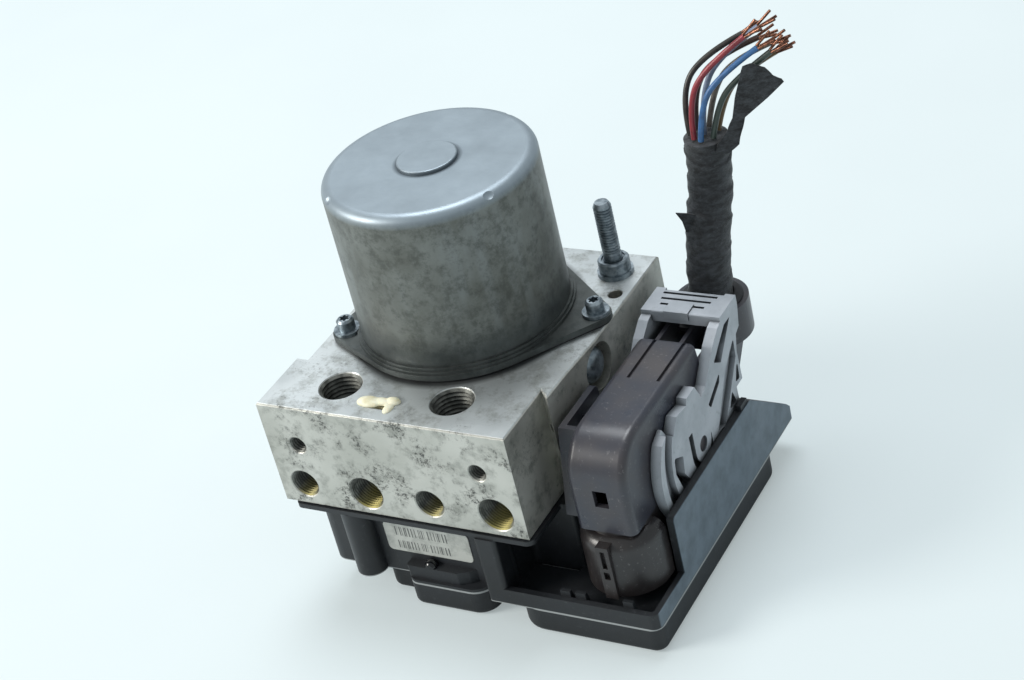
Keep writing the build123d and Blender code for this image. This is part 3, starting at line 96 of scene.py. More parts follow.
# torn ends of the tape: outline as (along, height) pairs, where it starts, which way it lies, thickness
flap_outline = ((5.6, 109.2), (10.0, 111.6), (11.4, 116.0), (13.1, 120.7), (19.0, 124.6), (26.6, 129.6),
                (26.0, 131.0), (23.6, 132.6), (21.5, 136.2), (17.6, 138.0), (14.9, 137.6), (13.4, 134.6),
                (12.1, 131.0), (10.6, 126.0), (9.2, 121.5), (7.0, 116.7), (3.2, 113.4), (2.4, 110.4))
flap_start = (68.5, 50.3, 0.0)
flap_across = (0.866, 0.5, 0.0)
flap_facing = (0.5, -0.866, 0.0)
flap_thickness = 0.35
tag_outline = ((-9.6, 92.8), (-6.2, 92.4), (-2.0, 91.4), (-1.5, 84.4), (-7.4, 85.6), (-8.0, 89.6))
tag_start = (66.8, 44.6, 0.0)
tag_across = (1.0, 0.25, 0.0)
tag_thickness = 0.4

# cut wires: where each leaves the tape, then the points that its curve is drawn through
wire_r = 0.95
wire_start_z = 113.7
wire_points = {
    "black": ((60.6, 55.4), (58.2, 58.5, 126.0), (63.5, 64.8, 136.5), (76.5, 71.0, 142.0)),
    "brown": ((61.6, 58.6), (60.0, 63.0, 125.0), (66.5, 69.0, 134.5), (80.5, 73.5, 139.5)),
    "red": ((62.9, 53.3), (62.2, 55.0, 126.0), (68.6, 58.6, 136.8), (81.0, 63.0, 145.5)),
    "blue": ((65.6, 52.4), (66.8, 53.8, 125.5), (73.2, 57.5, 134.5), (84.5, 63.5, 141.5)),
    "grey": ((64.8, 56.6), (64.6, 60.2, 126.5), (71.0, 64.5, 138.0), (83.5, 68.6, 146.0)),
    "white": ((64.6, 61.2), (65.5, 66.0, 124.5), (72.8, 70.0, 133.5), (85.5, 71.5, 139.0)),
    "green": ((68.8, 54.8), (71.0, 57.0, 124.5), (77.6, 60.5, 132.5), (88.0, 65.0, 139.5)),
    "yellow": ((68.4, 59.8), (70.4, 63.6, 124.0), (77.6, 67.5, 131.5), (88.0, 69.0, 137.5)),
}

# camera: where it stands, how it is turned and its lens
camera_place = (354.2, -477.3, 446.8)
camera_turn_deg = (56.286, 11.917, 27.621)
camera_lens = 77.16
camera_sensor = 36.0

# what the windows are turned to, in metres
object_middle = (0, 0, 0.05)


# ---------------------------------------------------------------- material helpers
def linear(hex_colour):
    """Linear colour of an sRGB hex value."""
    channels = []
    for i in (1, 3, 5):
        value = int(hex_colour[i : i + 2], 16) / 255
        channels.append(value / 12.92 if value <= 0.04045 else ((value + 0.055) / 1.055) ** 2.4)
    return (*channels, 1.0)


def add(tree, kind, inputs=None, **settings):
    """Adds a node with its settings; an input given as a socket is linked, anything else is its value."""
    node = tree.nodes.new(kind)
    for key, value in settings.items():
        setattr(node, key, value)
    for key, value in (inputs or {}).items():
        if isinstance(value, bpy.types.NodeSocket):
            tree.links.new(value, node.inputs[key])
        else:
            node.inputs[key].default_value = value
    return node


def new_material(name):
    """Empty node material and its tree."""
    material = bpy.data.materials.new(name)
    material.use_nodes = True
    material.node_tree.nodes.clear()
    return material, material.node_tree


def in_mm(tree):
    """Object coordinates in millimetres."""
    place = add(tree, "ShaderNodeTexCoord").outputs["Object"]
    return add(tree, "ShaderNodeVectorMath", {0: place, 3: 1000.0}, operation="SCALE").outputs[0]


def noise(tree, place, size_mm, detail=4.0, roughness=0.6, stretch=None):
    """Noise whose features are about size_mm across; stretch multiplies the coordinates along each axis."""
    if stretch:
        place = add(tree, "ShaderNodeVectorMath", {0: place, 1: stretch}, operation="MULTIPLY").outputs[0]
    node = add(tree, "ShaderNodeTexNoise", {"Vector": place, "Scale": 1 / size_mm, "Detail": detail,
                                           "Roughness": roughness})
    return node.outputs["Fac"]


def between(tree, value, low, high, to_low=0.0, to_high=1.0):
    """Maps a value from one range to another, held at its ends."""
    ends = {"From Min": low, "From Max": high, "To Min": to_low, "To Max": to_high}
    return add(tree, "ShaderNodeMapRange", {"Value": value, **ends}).outputs[0]


def blend(tree, share, first, second):
    """Mixes two colours; each is a hex value or a socket."""
    first = linear(first) if isinstance(first, str) else first
    second = linear(second) if isinstance(second, str) else second
    return add(tree, "ShaderNodeMix", {0: share, 6: first, 7: second}, data_type="RGBA").outputs[2]


def times(tree, a, b):
    """Product of two shares."""
    return add(tree, "ShaderNodeMath", {0: a, 1: b}, operation="MULTIPLY").outputs[0]


def band(tree, value, low, high, soft):
    """One between low and high, none outside, with edges softened by soft each way."""
    return times(tree, between(tree, value, low - soft, low + soft),
                 between(tree, value, high - soft, high + soft, 1.0, 0.0))


def relief(tree, heights):
    """Bump from (height socket, depth in mm) pairs, laid one on another."""
    normal = None
    for height, depth in heights:
        inputs = {"Height": height, "Distance": depth * MM, "Strength": 1.0}
        if normal is not None:
            inputs["Normal"] = normal
        normal = add(tree, "ShaderNodeBump", inputs).outputs[0]
    return normal


def surface(tree, **inputs):
    """Principled surface wired to the output."""
    names = {key.replace("_", " "): value for key, value in inputs.items()}
    shader = add(tree, "ShaderNodeBsdfPrincipled", names)
    add(tree, "ShaderNodeOutputMaterial", {"Surface": shader.outputs[0]})


def painted_corner_shade(tree, reach_mm, low, high, most):
    """Share of painted shade for a spot in a corner or pocket, by what closes it in within reach_mm."""
    node = add(tree, "ShaderNodeAmbientOcclusion", {"Distance": reach_mm * MM}, samples=8)
    return between(tree, node.outputs["AO"], low, high, most, 0.0)


def camera_ray(tree, unseen, seen):
    """One value for what the camera sees straight on, another for all other light."""
    return between(tree, add(tree, "ShaderNodeLightPath").outputs["Is Camera Ray"], 0.0, 1.0, unseen, seen)


def radius_from_motor(tree, place):
    """Distance from the motor's axis, in mm, and height, as sockets."""
    parts = add(tree, "ShaderNodeSeparateXYZ", {0: place})
    flat = add(tree, "ShaderNodeCombineXYZ", {0: parts.outputs[0], 1: parts.outputs[1], 2: 0.0})
    length = add(tree, "ShaderNodeVectorMath", {0: flat.outputs[0]}, operation="LENGTH")
    return length.outputs["Value"], parts.outputs[2]


# ---------------------------------------------------------------- materials
def machined_aluminium():
    """Milled extruded aluminium: pale satin metal with fine cutter lines, oxide specks and grey stains."""
    material, tree = new_material("milled_aluminium")
    place = in_mm(tree)
    axes = add(tree, "ShaderNodeSeparateXYZ", {0: place})
    cloud = noise(tree, place, 26.0, 3.0)
    colour = blend(tree, between(tree, cloud, 0.35, 0.65), "#B3B2AA", "#C9C8C1")
    # painted highlight: the top face is painted brighter and bluer than the sides
    top = between(tree, axes.outputs[2], block_top - 0.3, block_top - 0.1)
    colour = blend(tree, times(tree, top, 0.6), colour, "#C3CBD0")
    stain = between(tree, noise(tree, place, 7.0, 6.0, 0.7), 0.48, 0.66)
    colour = blend(tree, times(tree, stain, 0.6), colour, "#7A7B74")
    # painted shade: the broken edge between top and ported face is painted dark, so it shows no highlight
    edge = times(tree, between(tree, axes.outputs[2], block_top - 0.5, block_top - 0.4),
                 between(tree, axes.outputs[1], block_front_y + 0.4, block_front_y + 0.5, 1.0, 0.0))
    colour = blend(tree, times(tree, edge, 0.8), colour, "#6E706C")
    # dark specks of oxide gather in patches, thickest on the ported face
    patch = between(tree, noise(tree, place, 14.0, 3.0), 0.46, 0.6)
    speck = between(tree, noise(tree, place, 1.3, 6.0, 0.8), 0.52, 0.6)
    ported = between(tree, axes.outputs[1], block_front_y + 0.2, block_front_y + 0.6, 1.0, 0.45)
    speckled = times(tree, times(tree, speck, patch), ported)
    colour = blend(tree, times(tree, speckled, 0.9), colour, "#3E403F")
    radius, height = radius_from_motor(tree, place)
    # oily dirt lies against the motor's flange
    near = between(tree, radius, *flange_dirt_r, 1.0, 0.0)
    above = between(tree, height, block_top - 0.3, block_top - 0.1)
    colour = blend(tree, times(tree, times(tree, near, above), 0.8), colour, "#222424")
    lines = noise(tree, place, 0.5, 2.0, 0.5, (0.08, 3.0, 1.0))
    rough = between(tree, cloud, 0.3, 0.7, 0.36, 0.52)
    surface(tree, Base_Color=colour, Metallic=0.7, Roughness=rough,
            Normal=relief(tree, ((lines, 0.03), (speckled, -0.06), (cloud, 0.05))))
    return material


def cut_thread_metal():
    """Cut aluminium thread: dull ridges, painted shade in the roots, a painted yellowish highlight low in the
    wheel ports.
    """
    material, tree = new_material("cut_aluminium_thread")
    place = in_mm(tree)
    axes = add(tree, "ShaderNodeSeparateXYZ", {0: place})
    blotch = noise(tree, place, 3.0, 3.0)
    colour = blend(tree, between(tree, blotch, 0.4, 0.6), "#4E4F4B", "#747570")
    # painted highlight: the lower wall of each wheel port is painted yellowish
    low = between(tree, axes.outputs[2], wheel_port_z - 5.2, wheel_port_z - 2.6, 1.0, 0.0)
    colour = blend(tree, times(tree, low, 0.85), colour, "#8F8548")
    # painted shade: the thread roots are painted near black where the AO node finds them closed in
    colour = blend(tree, painted_corner_shade(tree, 2.5, 0.25, 0.7, 0.95), colour, "#0A0A08")
    surface(tree, Base_Color=colour, Metallic=0.6, Roughness=0.5, Normal=relief(tree, ((blotch, 0.03),)))
    return material


def passivated_can_steel():
    """Deep-drawn steel, zinc plated and passivated: dull mottled grey with rubbed vertical streaks."""
    material, tree = new_material("passivated_zinc_steel")
    place = in_mm(tree)
    radius, height = radius_from_motor(tree, place)
    cloud = noise(tree, place, 22.0, 5.0, 0.65)
    streak = noise(tree, place, 9.0, 4.0, 0.6, (1.0, 1.0, 0.18))
    colour = blend(tree, between(tree, cloud, 0.35, 0.65), "#5B5C56", "#7A7D79")
    colour = blend(tree, times(tree, between(tree, streak, 0.5, 0.68), 0.35), colour, "#8D9394")
    mottle = between(tree, noise(tree, place, 4.5, 6.0, 0.75), 0.46, 0.62)
    colour = blend(tree, times(tree, mottle, 0.6), colour, "#454742")
    # the can's colour darkens towards its bottom
    base = between(tree, height, *can_dark_z, 1.0, 0.0)
    colour = blend(tree, times(tree, base, 0.55), colour, "#30383C")
    # painted highlight: a band at the top of the can is painted bright and bluish
    top = between(tree, height, *can_highlight_z)
    colour = blend(tree, times(tree, top, 0.85), colour, "#96A2AB")
    # a darker ring lies in the corner round the bearing's boss, on the can's top
    boss = times(tree, between(tree, radius, boss_r - 0.2, boss_r + 0.1),
                 between(tree, radius, boss_r + 0.3, boss_r + 1.6, 1.0, 0.0))
    colour = blend(tree, times(tree, times(tree, boss, top), 0.8), colour, "#3A434A")
    rough = between(tree, cloud, 0.3, 0.7, 0.36, 0.52)
    grain = noise(tree, place, 0.6, 3.0)
    surface(tree, Base_Color=colour, Metallic=0.6, Roughness=rough,
            Normal=relief(tree, ((grain, 0.02), (cloud, 0.1))))
    return material


def plated_fastener_steel(name="zinc_plated_fastener", light="#A3ADB3", dark="#737D84"):
    """Blue-passivated zinc plating on turned steel: cool grey, fairly bright, with dulled patches."""
    material, tree = new_material(name)
    place = in_mm(tree)
    blotch = noise(tree, place, 2.5, 4.0)
    colour = blend(tree, between(tree, blotch, 0.4, 0.62), dark, light)
    surface(tree, Base_Color=colour, Metallic=0.85, Roughness=between(tree, blotch, 0.3, 0.7, 0.28, 0.45),
            Normal=relief(tree, ((blotch, 0.03),)))
    return material


def moulded_black():
    """Glass-filled PBT housing: near-black, fine spark-eroded grain, dust, a thin pale line at its joint,
    painted slate sheen on its outer wall.
    """
    material, tree = new_material("glass_filled_black_pbt")
    place = in_mm(tree)
    parts = add(tree, "ShaderNodeSeparateXYZ", {0: place})
    cloud = noise(tree, place, 18.0, 4.0)
    colour = blend(tree, between(tree, cloud, 0.35, 0.65), "#17191C", "#212428")
    dust = between(tree, noise(tree, place, 2.2, 5.0, 0.7), 0.6, 0.75)
    colour = blend(tree, times(tree, dust, 0.22), colour, "#6A6D70")
    # a thin pale line runs where housing and cover meet
    off_joint = add(tree, "ShaderNodeMath", {0: parts.outputs[2], 1: joint_z}, operation="SUBTRACT")
    distance = add(tree, "ShaderNodeMath", {0: off_joint.outputs[0]}, operation="ABSOLUTE")
    bead = between(tree, distance.outputs[0], 0.25, 0.45, 1.0, 0.0)
    colour = blend(tree, times(tree, bead, 0.8), colour, "#A9ACAC")
    # painted sheen: the outer wall above the joint is painted a patchy slate grey, as its bluish sheen
    outer = between(tree, parts.outputs[0], wall_outer_x, wall_outer_x + 0.3)
    painted_sheen_side = times(tree, outer, between(tree, parts.outputs[2], joint_z + 0.4, joint_z + 0.6))
    rubbed = between(tree, noise(tree, place, 9.0, 5.0, 0.65), 0.4, 0.65)
    slate = blend(tree, rubbed, "#66747F", "#56636D")
    colour = blend(tree, times(tree, painted_sheen_side, 0.9), colour, slate)
    grain = noise(tree, place, 0.35, 2.0)
    surface(tree, Base_Color=colour, Roughness=between(tree, cloud, 0.3, 0.7, 0.4, 0.56), IOR=1.5,
            Normal=relief(tree, ((grain, 0.02),)))
    return material


def moulded_hood_plastic(name, cool, warm):
    """Polyamide plug mouldings: smooth charcoal with a warm, handled sheen and light dust."""
    material, tree = new_material(name)
    place = in_mm(tree)
    cloud = noise(tree, place, 24.0, 3.0)
    colour = blend(tree, between(tree, cloud, 0.35, 0.65), cool, warm)
    dust = between(tree, noise(tree, place, 1.2, 4.0, 0.7), 0.6, 0.7)
    colour = blend(tree, times(tree, dust, 0.3), colour, "#8A8787")
    surface(tree, Base_Color=colour, Roughness=between(tree, cloud, 0.3, 0.7, 0.24, 0.38), IOR=1.53,
            Normal=relief(tree, ((noise(tree, place, 1.5, 3.0), 0.02),)))
    return material


def moulded_grey_lever():
    """Light grey PBT lever: even matt moulding with grime, and painted shade in its corners."""
    material, tree = new_material("light_grey_pbt")
    place = in_mm(tree)
    cloud = noise(tree, place, 12.0, 4.0)
    colour = blend(tree, between(tree, cloud, 0.35, 0.65), "#9BA0A6", "#B0B4BA")
    grime = between(tree, noise(tree, place, 2.6, 5.0, 0.7), 0.58, 0.74)
    colour = blend(tree, times(tree, grime, 0.4), colour, "#5A5F60")
    # painted shade: the pockets and corners are painted dark where the AO node finds them closed in
    colour = blend(tree, painted_corner_shade(tree, 4.0, 0.45, 0.85, 0.9), colour, "#25282A")
    surface(tree, Base_Color=colour, Roughness=0.45, IOR=1.5,
            Normal=relief(tree, ((noise(tree, place, 0.5), 0.01),)))
    return material


def black_rubber():
    """Moulded seal rubber: deep matt black with a faint bloom."""
    material, tree = new_material("nitrile_rubber")
    place = in_mm(tree)
    bloom = noise(tree, place, 3.0, 4.0)
    colour = blend(tree, between(tree, bloom, 0.4, 0.7), "#15161A", "#26272A")
    surface(tree, Base_Color=colour, Roughness=0.65, IOR=1.52, Normal=relief(tree, ((bloom, 0.04),)))
    return material


def cloth_loom_tape():
    """Woven polyester loom tape: matt black cloth, wrapped on a slant, frayed, with dust and painted sheen on
    its laps.
    """
    material, tree = new_material("woven_loom_tape")
    place = in_mm(tree)
    wrinkle = noise(tree, place, 3.5, 5.0, 0.7, (1.0, 1.0, 2.2))
    weave = add(tree, "ShaderNodeTexWave", {"Vector": place, "Scale": 1.2, "Distortion": 1.5, "Detail": 2.0},
                wave_type="BANDS", bands_direction="DIAGONAL").outputs["Fac"]
    colour = blend(tree, between(tree, wrinkle, 0.4, 0.62), "#0F1013", "#393C40")
    # the pale patches are partly dust and partly painted sheen
    dust = between(tree, noise(tree, place, 1.4, 5.0, 0.75), 0.6, 0.75)
    colour = blend(tree, times(tree, dust, 0.55), colour, "#74777A")
    surface(tree, Base_Color=colour, Roughness=0.62, IOR=1.5, Sheen_Weight=0.15,
            Normal=relief(tree, ((wrinkle, 0.6), (weave, 0.06))))
    return material


def wire_insulation(name, light, dark):
    """Thin-wall PVC wire insulation: satin colour with oily smears."""
    material, tree = new_material(name)
    place = in_mm(tree)
    smear = noise(tree, place, 4.0, 4.0)
    colour = blend(tree, between(tree, smear, 0.45, 0.7), light, dark)
    surface(tree, Base_Color=colour, Roughness=0.38, IOR=1.53, Normal=relief(tree, ((smear, 0.03),)))
    return material


def bare_copper():
    """Drawn copper strands: dull metal, browned in places."""
    material, tree = new_material("drawn_copper")
    place = in_mm(tree)
    tarnish = noise(tree, place, 1.5, 3.0)
    colour = blend(tree, between(tree, tarnish, 0.4, 0.6), "#9A6A54", "#5E4034")
    surface(tree, Base_Color=colour, Metallic=0.9, Roughness=0.35, Normal=relief(tree, ((tarnish, 0.02),)))
    return material


def printed_label():
    """Polyester label: satin white film with plain dark bars in two rows and grey rubbed marks."""
    material, tree = new_material("printed_polyester_film")
    place = in_mm(tree)
    parts = add(tree, "ShaderNodeSeparateXYZ", {0: place})
    x, height = parts.outputs[0], parts.outputs[2]
    bars = noise(tree, place, 0.55, 1.0, 0.4, (1.0, 0.0, 0.0))
    bar = between(tree, bars, 0.5, 0.53)
    inside = band(tree, x, *label_print_x, 0.1)
    lower, upper = (band(tree, height, *row, 0.05) for row in label_rows)
    rows = add(tree, "ShaderNodeMath", {0: upper, 1: lower}, operation="MAXIMUM").outputs[0]
    ink = times(tree, times(tree, bar, inside), rows)
    rub = noise(tree, place, 5.0, 5.0, 0.7)
    colour = blend(tree, between(tree, rub, 0.45, 0.7), "#B4B5AF", "#8B8D88")
    colour = blend(tree, times(tree, ink, 0.85), colour, "#3A3C3C")
    surface(tree, Base_Color=colour, Roughness=0.4, IOR=1.5, Normal=relief(tree, ((rub, 0.02),)))
    return material


def dried_sealant():
    """Dried silicone sealing compound: creamy, waxy, softly translucent."""
    material, tree = new_material("dried_silicone")
    place = in_mm(tree)
    lump = noise(tree, place, 3.0, 3.0)
    colour = blend(tree, between(tree, lump, 0.4, 0.65), "#EDE9D0", "#D8D1B0")
    surface(tree, Base_Color=colour, Roughness=0.4, IOR=1.43, Subsurface_Weight=0.15,
            Subsurface_Radius=(0.002, 0.0015, 0.001), Normal=relief(tree, ((lump, 0.15),)))
    return material


def gloss_vent_cap():
    """Polished black vent cap: small, glossy and clean."""
    material, tree = new_material("gloss_black_abs")
    place = in_mm(tree)
    haze = noise(tree, place, 2.0)
    colour = blend(tree, between(tree, haze, 0.4, 0.7), "#0C0D10", "#17181C")
    surface(tree, Base_Color=colour, Roughness=0.1, IOR=1.53)
    return material


def circuit_board_resist():
    """Green solder resist over glass-fibre board, darker over its copper planes."""
    material, tree = new_material("green_solder_resist")
    place = in_mm(tree)
    planes = between(tree, noise(tree, place, 6.0, 1.0), 0.49, 0.51)
    colour = blend(tree, planes, "#12482C", "#1B5F39")
    surface(tree, Base_Color=colour, Roughness=0.3, IOR=1.55)
    return material


def moulded_resin():
    """Thermoset resin of coils and brush plate: dark brown, slightly glossy."""
    material, tree = new_material("moulded_resin")
    place = in_mm(tree)
    cloud = noise(tree, place, 5.0, 3.0)
    colour = blend(tree, between(tree, cloud, 0.4, 0.6), "#3A2A1E", "#2A1F18")
    surface(tree, Base_Color=colour, Roughness=0.4, IOR=1.55)
    return material


def sintered_magnet():
    """Ferrite and pressed carbon: dark grey, dry and granular."""
    material, tree = new_material("sintered_ferrite")
    place = in_mm(tree)
    grain = noise(tree, place, 0.8, 4.0)
    colour = blend(tree, between(tree, grain, 0.4, 0.6), "#2A2A2C", "#3B3B3D")
    surface(tree, Base_Color=colour, Roughness=0.7, IOR=1.6, Normal=relief(tree, ((grain, 0.03),)))
    return material


# ---------------------------------------------------------------- modelling helpers
def clear_selection():
    """Leaves nothing selected."""
    bpy.ops.object.select_all(action="DESELECT")


def make_active(piece):
    """Selects one piece alone and makes it the active one."""
    clear_selection()
    piece.select_set(True)
    bpy.context.view_layer.objects.active = piece


def edit_all():
    """Starts to edit the active piece, all of it selected."""
    bpy.ops.object.mode_set(mode="EDIT")
    bpy.ops.mesh.select_all(action="SELECT")


def end_edit():
    """Turns every face outward and stops editing."""
    bpy.ops.mesh.select_all(action="SELECT")
    bpy.ops.mesh.normals_make_consistent(inside=False)
    bpy.ops.object.mode_set(mode="OBJECT")


def turned_piece(name, rings, segments=48):
    """A piece turned about +Z: a circle carried from ring to ring, each ring (radius, height) in mm."""
    clear_selection()
    radius, height = rings[0]
    bpy.ops.mesh.primitive_circle_add(vertices=segments, radius=radius * MM, location=(0, 0, height * MM))
    piece = bpy.context.object
    piece.name = name
    bpy.ops.object.transform_apply(location=True, rotation=True, scale=True)
    edit_all()
    for next_radius, next_height in rings[1:]:
        bpy.ops.mesh.extrude_edges_move(TRANSFORM_OT_translate={"value": (0, 0, (next_height - height) * MM)})
        share = next_radius / radius
        bpy.ops.transform.resize(value=(share, share, 1), center_override=(0, 0, next_height * MM))
        radius, height = next_radius, next_height
    bpy.ops.mesh.select_all(action="SELECT")
    bpy.ops.mesh.remove_doubles(threshold=0.000002)
    end_edit()
    bpy.ops.object.shade_smooth_by_angle(angle=math.radians(35))
    return piece


def place_piece(piece, place_mm, turn_deg=(0, 0, 0)):
    """Turns and moves a piece, then applies its place to its mesh."""
    make_active(piece)
    piece.rotation_euler = Euler([math.radians(a) for a in turn_deg])
    piece.location = Vector(place_mm) * MM
    bpy.ops.object.transform_apply(location=True, rotation=True, scale=True)


def fit_out(piece, material, body):
    """Gives a new piece its material and body."""
    piece.data.materials.clear()
    piece.data.materials.append(material)
    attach(piece, body)


def drawn_curve(name, points_mm, resolution):
    """A curve object that starts and ends at its first and last point and is drawn in by the others."""
    curve = bpy.data.curves.new(name, "CURVE")
    curve.dimensions = "3D"
    spline = curve.splines.new("NURBS")
    spline.points.add(len(points_mm) - 1)
    for point, place in zip(spline.points, points_mm):
        point.co = (*(Vector(place) * MM), 1.0)
    spline.order_u = 3
    spline.use_endpoint_u = True
    spline.resolution_u = resolution
    piece = bpy.data.objects.new(name, curve)
    bpy.context.collection.objects.link(piece)
    return piece


def thread_rings(major, top, length, pitch):
    """Closed outline of an inside thread: down its ridges and back up its outer wall."""
    minor = major - thread_depth_share * pitch
    rings = [(major - thread_clearance, top)]
    height = top
    while height - pitch > top - length:
        rings.append((minor, height - pitch * 0.45))
        rings.append((minor, height - pitch * 0.55))
        rings.append((major - 3 * thread_clearance, height - pitch * 0.98))
        height -= pitch
    rings.append((major - thread_clearance, height - 0.2))
    rings.append((major - thread_clearance, top))
    return rings


# ---------------------------------------------------------------- pieces
def make_port_threads(metal):
    """Inside threads of the pipe ports and of the two fixing holes."""
    inward = (90, 0, 0)
    holes = [((x, block_front_y, wheel_port_z), inward, r, wheel_thread) for x, r in wheel_ports]
    holes += [((x, y, block_top), (0, 0, 0), r, top_thread) for x, y, r in top_ports]
    holes += [((x, block_front_y, z), inward, fixing_hole_r, fixing_thread) for x, z in fixing_holes]
    for number, (place, turn, radius, thread) in enumerate(holes):
        pitch, length, start, segments = thread
        piece = turned_piece(f"port_thread_{number}", thread_rings(radius, start, length, pitch), segments)
        place_piece(piece, place, turn)
        fit_out(piece, metal, "module")


def make_stud(metal):
    """M6 stud: stout shank in the collar, cut thread over its upper part, chamfered end."""
    rings = [(0.01, stud_bottom), (stud_shoulder_r, stud_bottom), (stud_shoulder_r, stud_shoulder_top),
             (stud_r, stud_shoulder_top), (stud_r, stud_thread_start - 0.5)]
    height = stud_thread_start
    while height < stud_top - 1.6:
        rings.append((stud_core_r, height + 0.1))
        rings.append((stud_core_r + 0.02, height + 0.25))
        rings.append((stud_r, height + 0.6))
        rings.append((stud_r, height + 0.75))
        height += stud_pitch
    rings += [(2.6, stud_top - 0.6), (2.2, stud_top), (0.01, stud_top)]
    piece = turned_piece("threaded_stud", rings, 32)
    place_piece(piece, (*stud_place, 0))
    fit_out(piece, metal, "module")
    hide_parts("mounting_stud")


def make_sealant(paste):
    """Squeezed bead of sealing compound by the top ports: rounded lobes run together, flat on the block."""
    lobes = []
    for x, y, length, width, height in sealant_lobes:
        clear_selection()
        bpy.ops.mesh.primitive_uv_sphere_add(segments=32, ring_count=16, radius=MM)
        lobe = bpy.context.object
        lobe.scale = (length, width, height)
        lobe.location = Vector((x, y, block_top)) * MM
        bpy.ops.object.transform_apply(location=True, rotation=True, scale=True)
        lobes.append(lobe)
    for lobe in lobes:
        lobe.select_set(True)
    bpy.ops.object.join()
    bead = bpy.context.object
    bead.name = "sealant_bead"
    merge = bead.modifiers.new("merge", "REMESH")
    merge.mode = "VOXEL"
    merge.voxel_size = 0.25 * MM
    soften = bead.modifiers.new("soften", "SMOOTH")
    soften.factor = 0.6
    soften.iterations = 12
    for name in ("merge", "soften"):
        bpy.ops.object.modifier_apply(modifier=name)
    edit_all()
    face = (0, 0, (block_top + 0.02) * MM)
    bpy.ops.mesh.bisect(plane_co=face, plane_no=(0, 0, 1), use_fill=True, clear_inner=True)
    end_edit()
    bpy.ops.object.shade_smooth_by_angle(angle=math.radians(60))
    fit_out(bead, paste, "module")
    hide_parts("sealant_smear")


def make_loom_tape(cloth):
    """Tape wrapped round the loom: rings along its route, each lap a slanted step proud of the last."""
    holder = drawn_curve("loom_route", loom_points, 12)
    line = bpy.data.meshes.new_from_object(holder)
    places = [v.co.copy() for v in line.vertices]
    bpy.data.objects.remove(holder)
    # lengths along the route, to put the rings at even steps
    lengths = [0.0]
    for a, b in zip(places, places[1:]):
        lengths.append(lengths[-1] + (b - a).length)
    total = lengths[-1]

    def at(distance):
        """Place and heading that far along the route."""
        for i in range(1, len(lengths)):
            if distance <= lengths[i] or i == len(lengths) - 1:
                share = (distance - lengths[i - 1]) / (lengths[i] - lengths[i - 1])
                return places[i - 1].lerp(places[i], share), (places[i] - places[i - 1]).normalized()

    step_count = 132
    segments = 40
    rise = math.tan(math.radians(tape_slant_deg)) * loom_r * MM
    vertices = []
    for i in range(step_count + 1):
        distance = total * i / step_count
        centre, heading = at(distance)
        across = heading.cross(Vector((1, 0, 0))).normalized()
        side = across.cross(heading).normalized()
        for k in range(segments):
            angle = 2 * math.pi * k / segments
            phase = ((distance + rise * math.cos(angle + 0.6)) / (tape_lap * MM)) % 1.0
            # pulled cloth is never quite round
            wave = 0.10 * math.sin(3 * angle + distance * 900)
            wave += 0.08 * math.sin(5 * angle - distance * 1400 + 1.0)
            radius = (loom_r - tape_inset + tape_step * phase + wave) * MM
            vertices.append(centre + side * (math.cos(angle) * radius) + across * (math.sin(angle) * radius))
    faces = []
    for i in range(step_count):
        for k in range(segments):
            a = i * segments + k
            b = i * segments + (k + 1) % segments
            faces.append((a, b, b + segments, a + segments))
    faces.append(tuple(range(segments))[::-1])
    faces.append(tuple(range(step_count * segments, (step_count + 1) * segments)))
    mesh = bpy.data.meshes.new("loom_tape")
    mesh.from_pydata([tuple(v) for v in vertices], [], faces)
    piece = bpy.data.objects.new("loom_tape", mesh)
    bpy.context.collection.objects.link(piece)
    make_active(piece)
    edit_all()
    end_edit()
    bpy.ops.object.shade_smooth_by_angle(angle=math.radians(50))
    fit_out(piece, cloth, "plug")
    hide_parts("harness_tape")


def flat_strip(name, outline, start, across, thickness):
    """A thin piece cut from sheet, upright: its outline lies along the way across, from the start."""
    across = Vector(across).normalized()
    facing = across.cross(Vector((0, 0, 1)))
    clear_selection()
    bpy.ops.mesh.primitive_circle_add(vertices=len(outline), radius=0.01, fill_type="NGON")
    piece = bpy.context.object
    piece.name = name
    for vertex, (along, height) in zip(piece.data.vertices, outline):
        vertex.co = (Vector(start) + across * along) * MM
        vertex.co.z = height * MM
    edit_all()
    bpy.ops.mesh.subdivide(number_cuts=3)
    bpy.ops.mesh.extrude_region_move(TRANSFORM_OT_translate={"value": tuple(facing * -thickness * MM)})
    end_edit()
    return piece


def make_tape_ends(cloth):
    """Loose ends of the tape: the large flap at the loom's top and the ragged tag half way up."""
    flap = flat_strip("tape_flap", flap_outline, flap_start, flap_across, flap_thickness)
    # the flap bellies and creases like stiff cloth
    for vertex in flap.data.vertices:
        x, y, z = vertex.co / MM
        push = 0.54 * math.sin((x + z) * 0.45) + 0.3 * math.sin(z * 0.9 - x * 0.6)
        vertex.co += Vector(flap_facing) * push * MM
    tag = flat_strip("tape_tag", tag_outline, tag_start, tag_across, tag_thickness)
    for piece in (flap, tag):
        make_active(piece)
        bpy.ops.object.shade_smooth_by_angle(angle=math.radians(40))
        fit_out(piece, cloth, "plug")


def make_wires(insulations):
    """The cut wires, each a free cord from the tape's end to its bare end."""
    for colour, (start, *rest) in wire_points.items():
        points = [(*start, wire_start_z), *rest]
        piece = drawn_curve("cut_wire_" + colour, points, 16)
        piece.data.bevel_depth = wire_r * MM
        piece.data.bevel_resolution = 4
        piece.data.use_fill_caps = True
        fit_out(piece, insulations[colour], "plug")
        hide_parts("wire_" + colour)


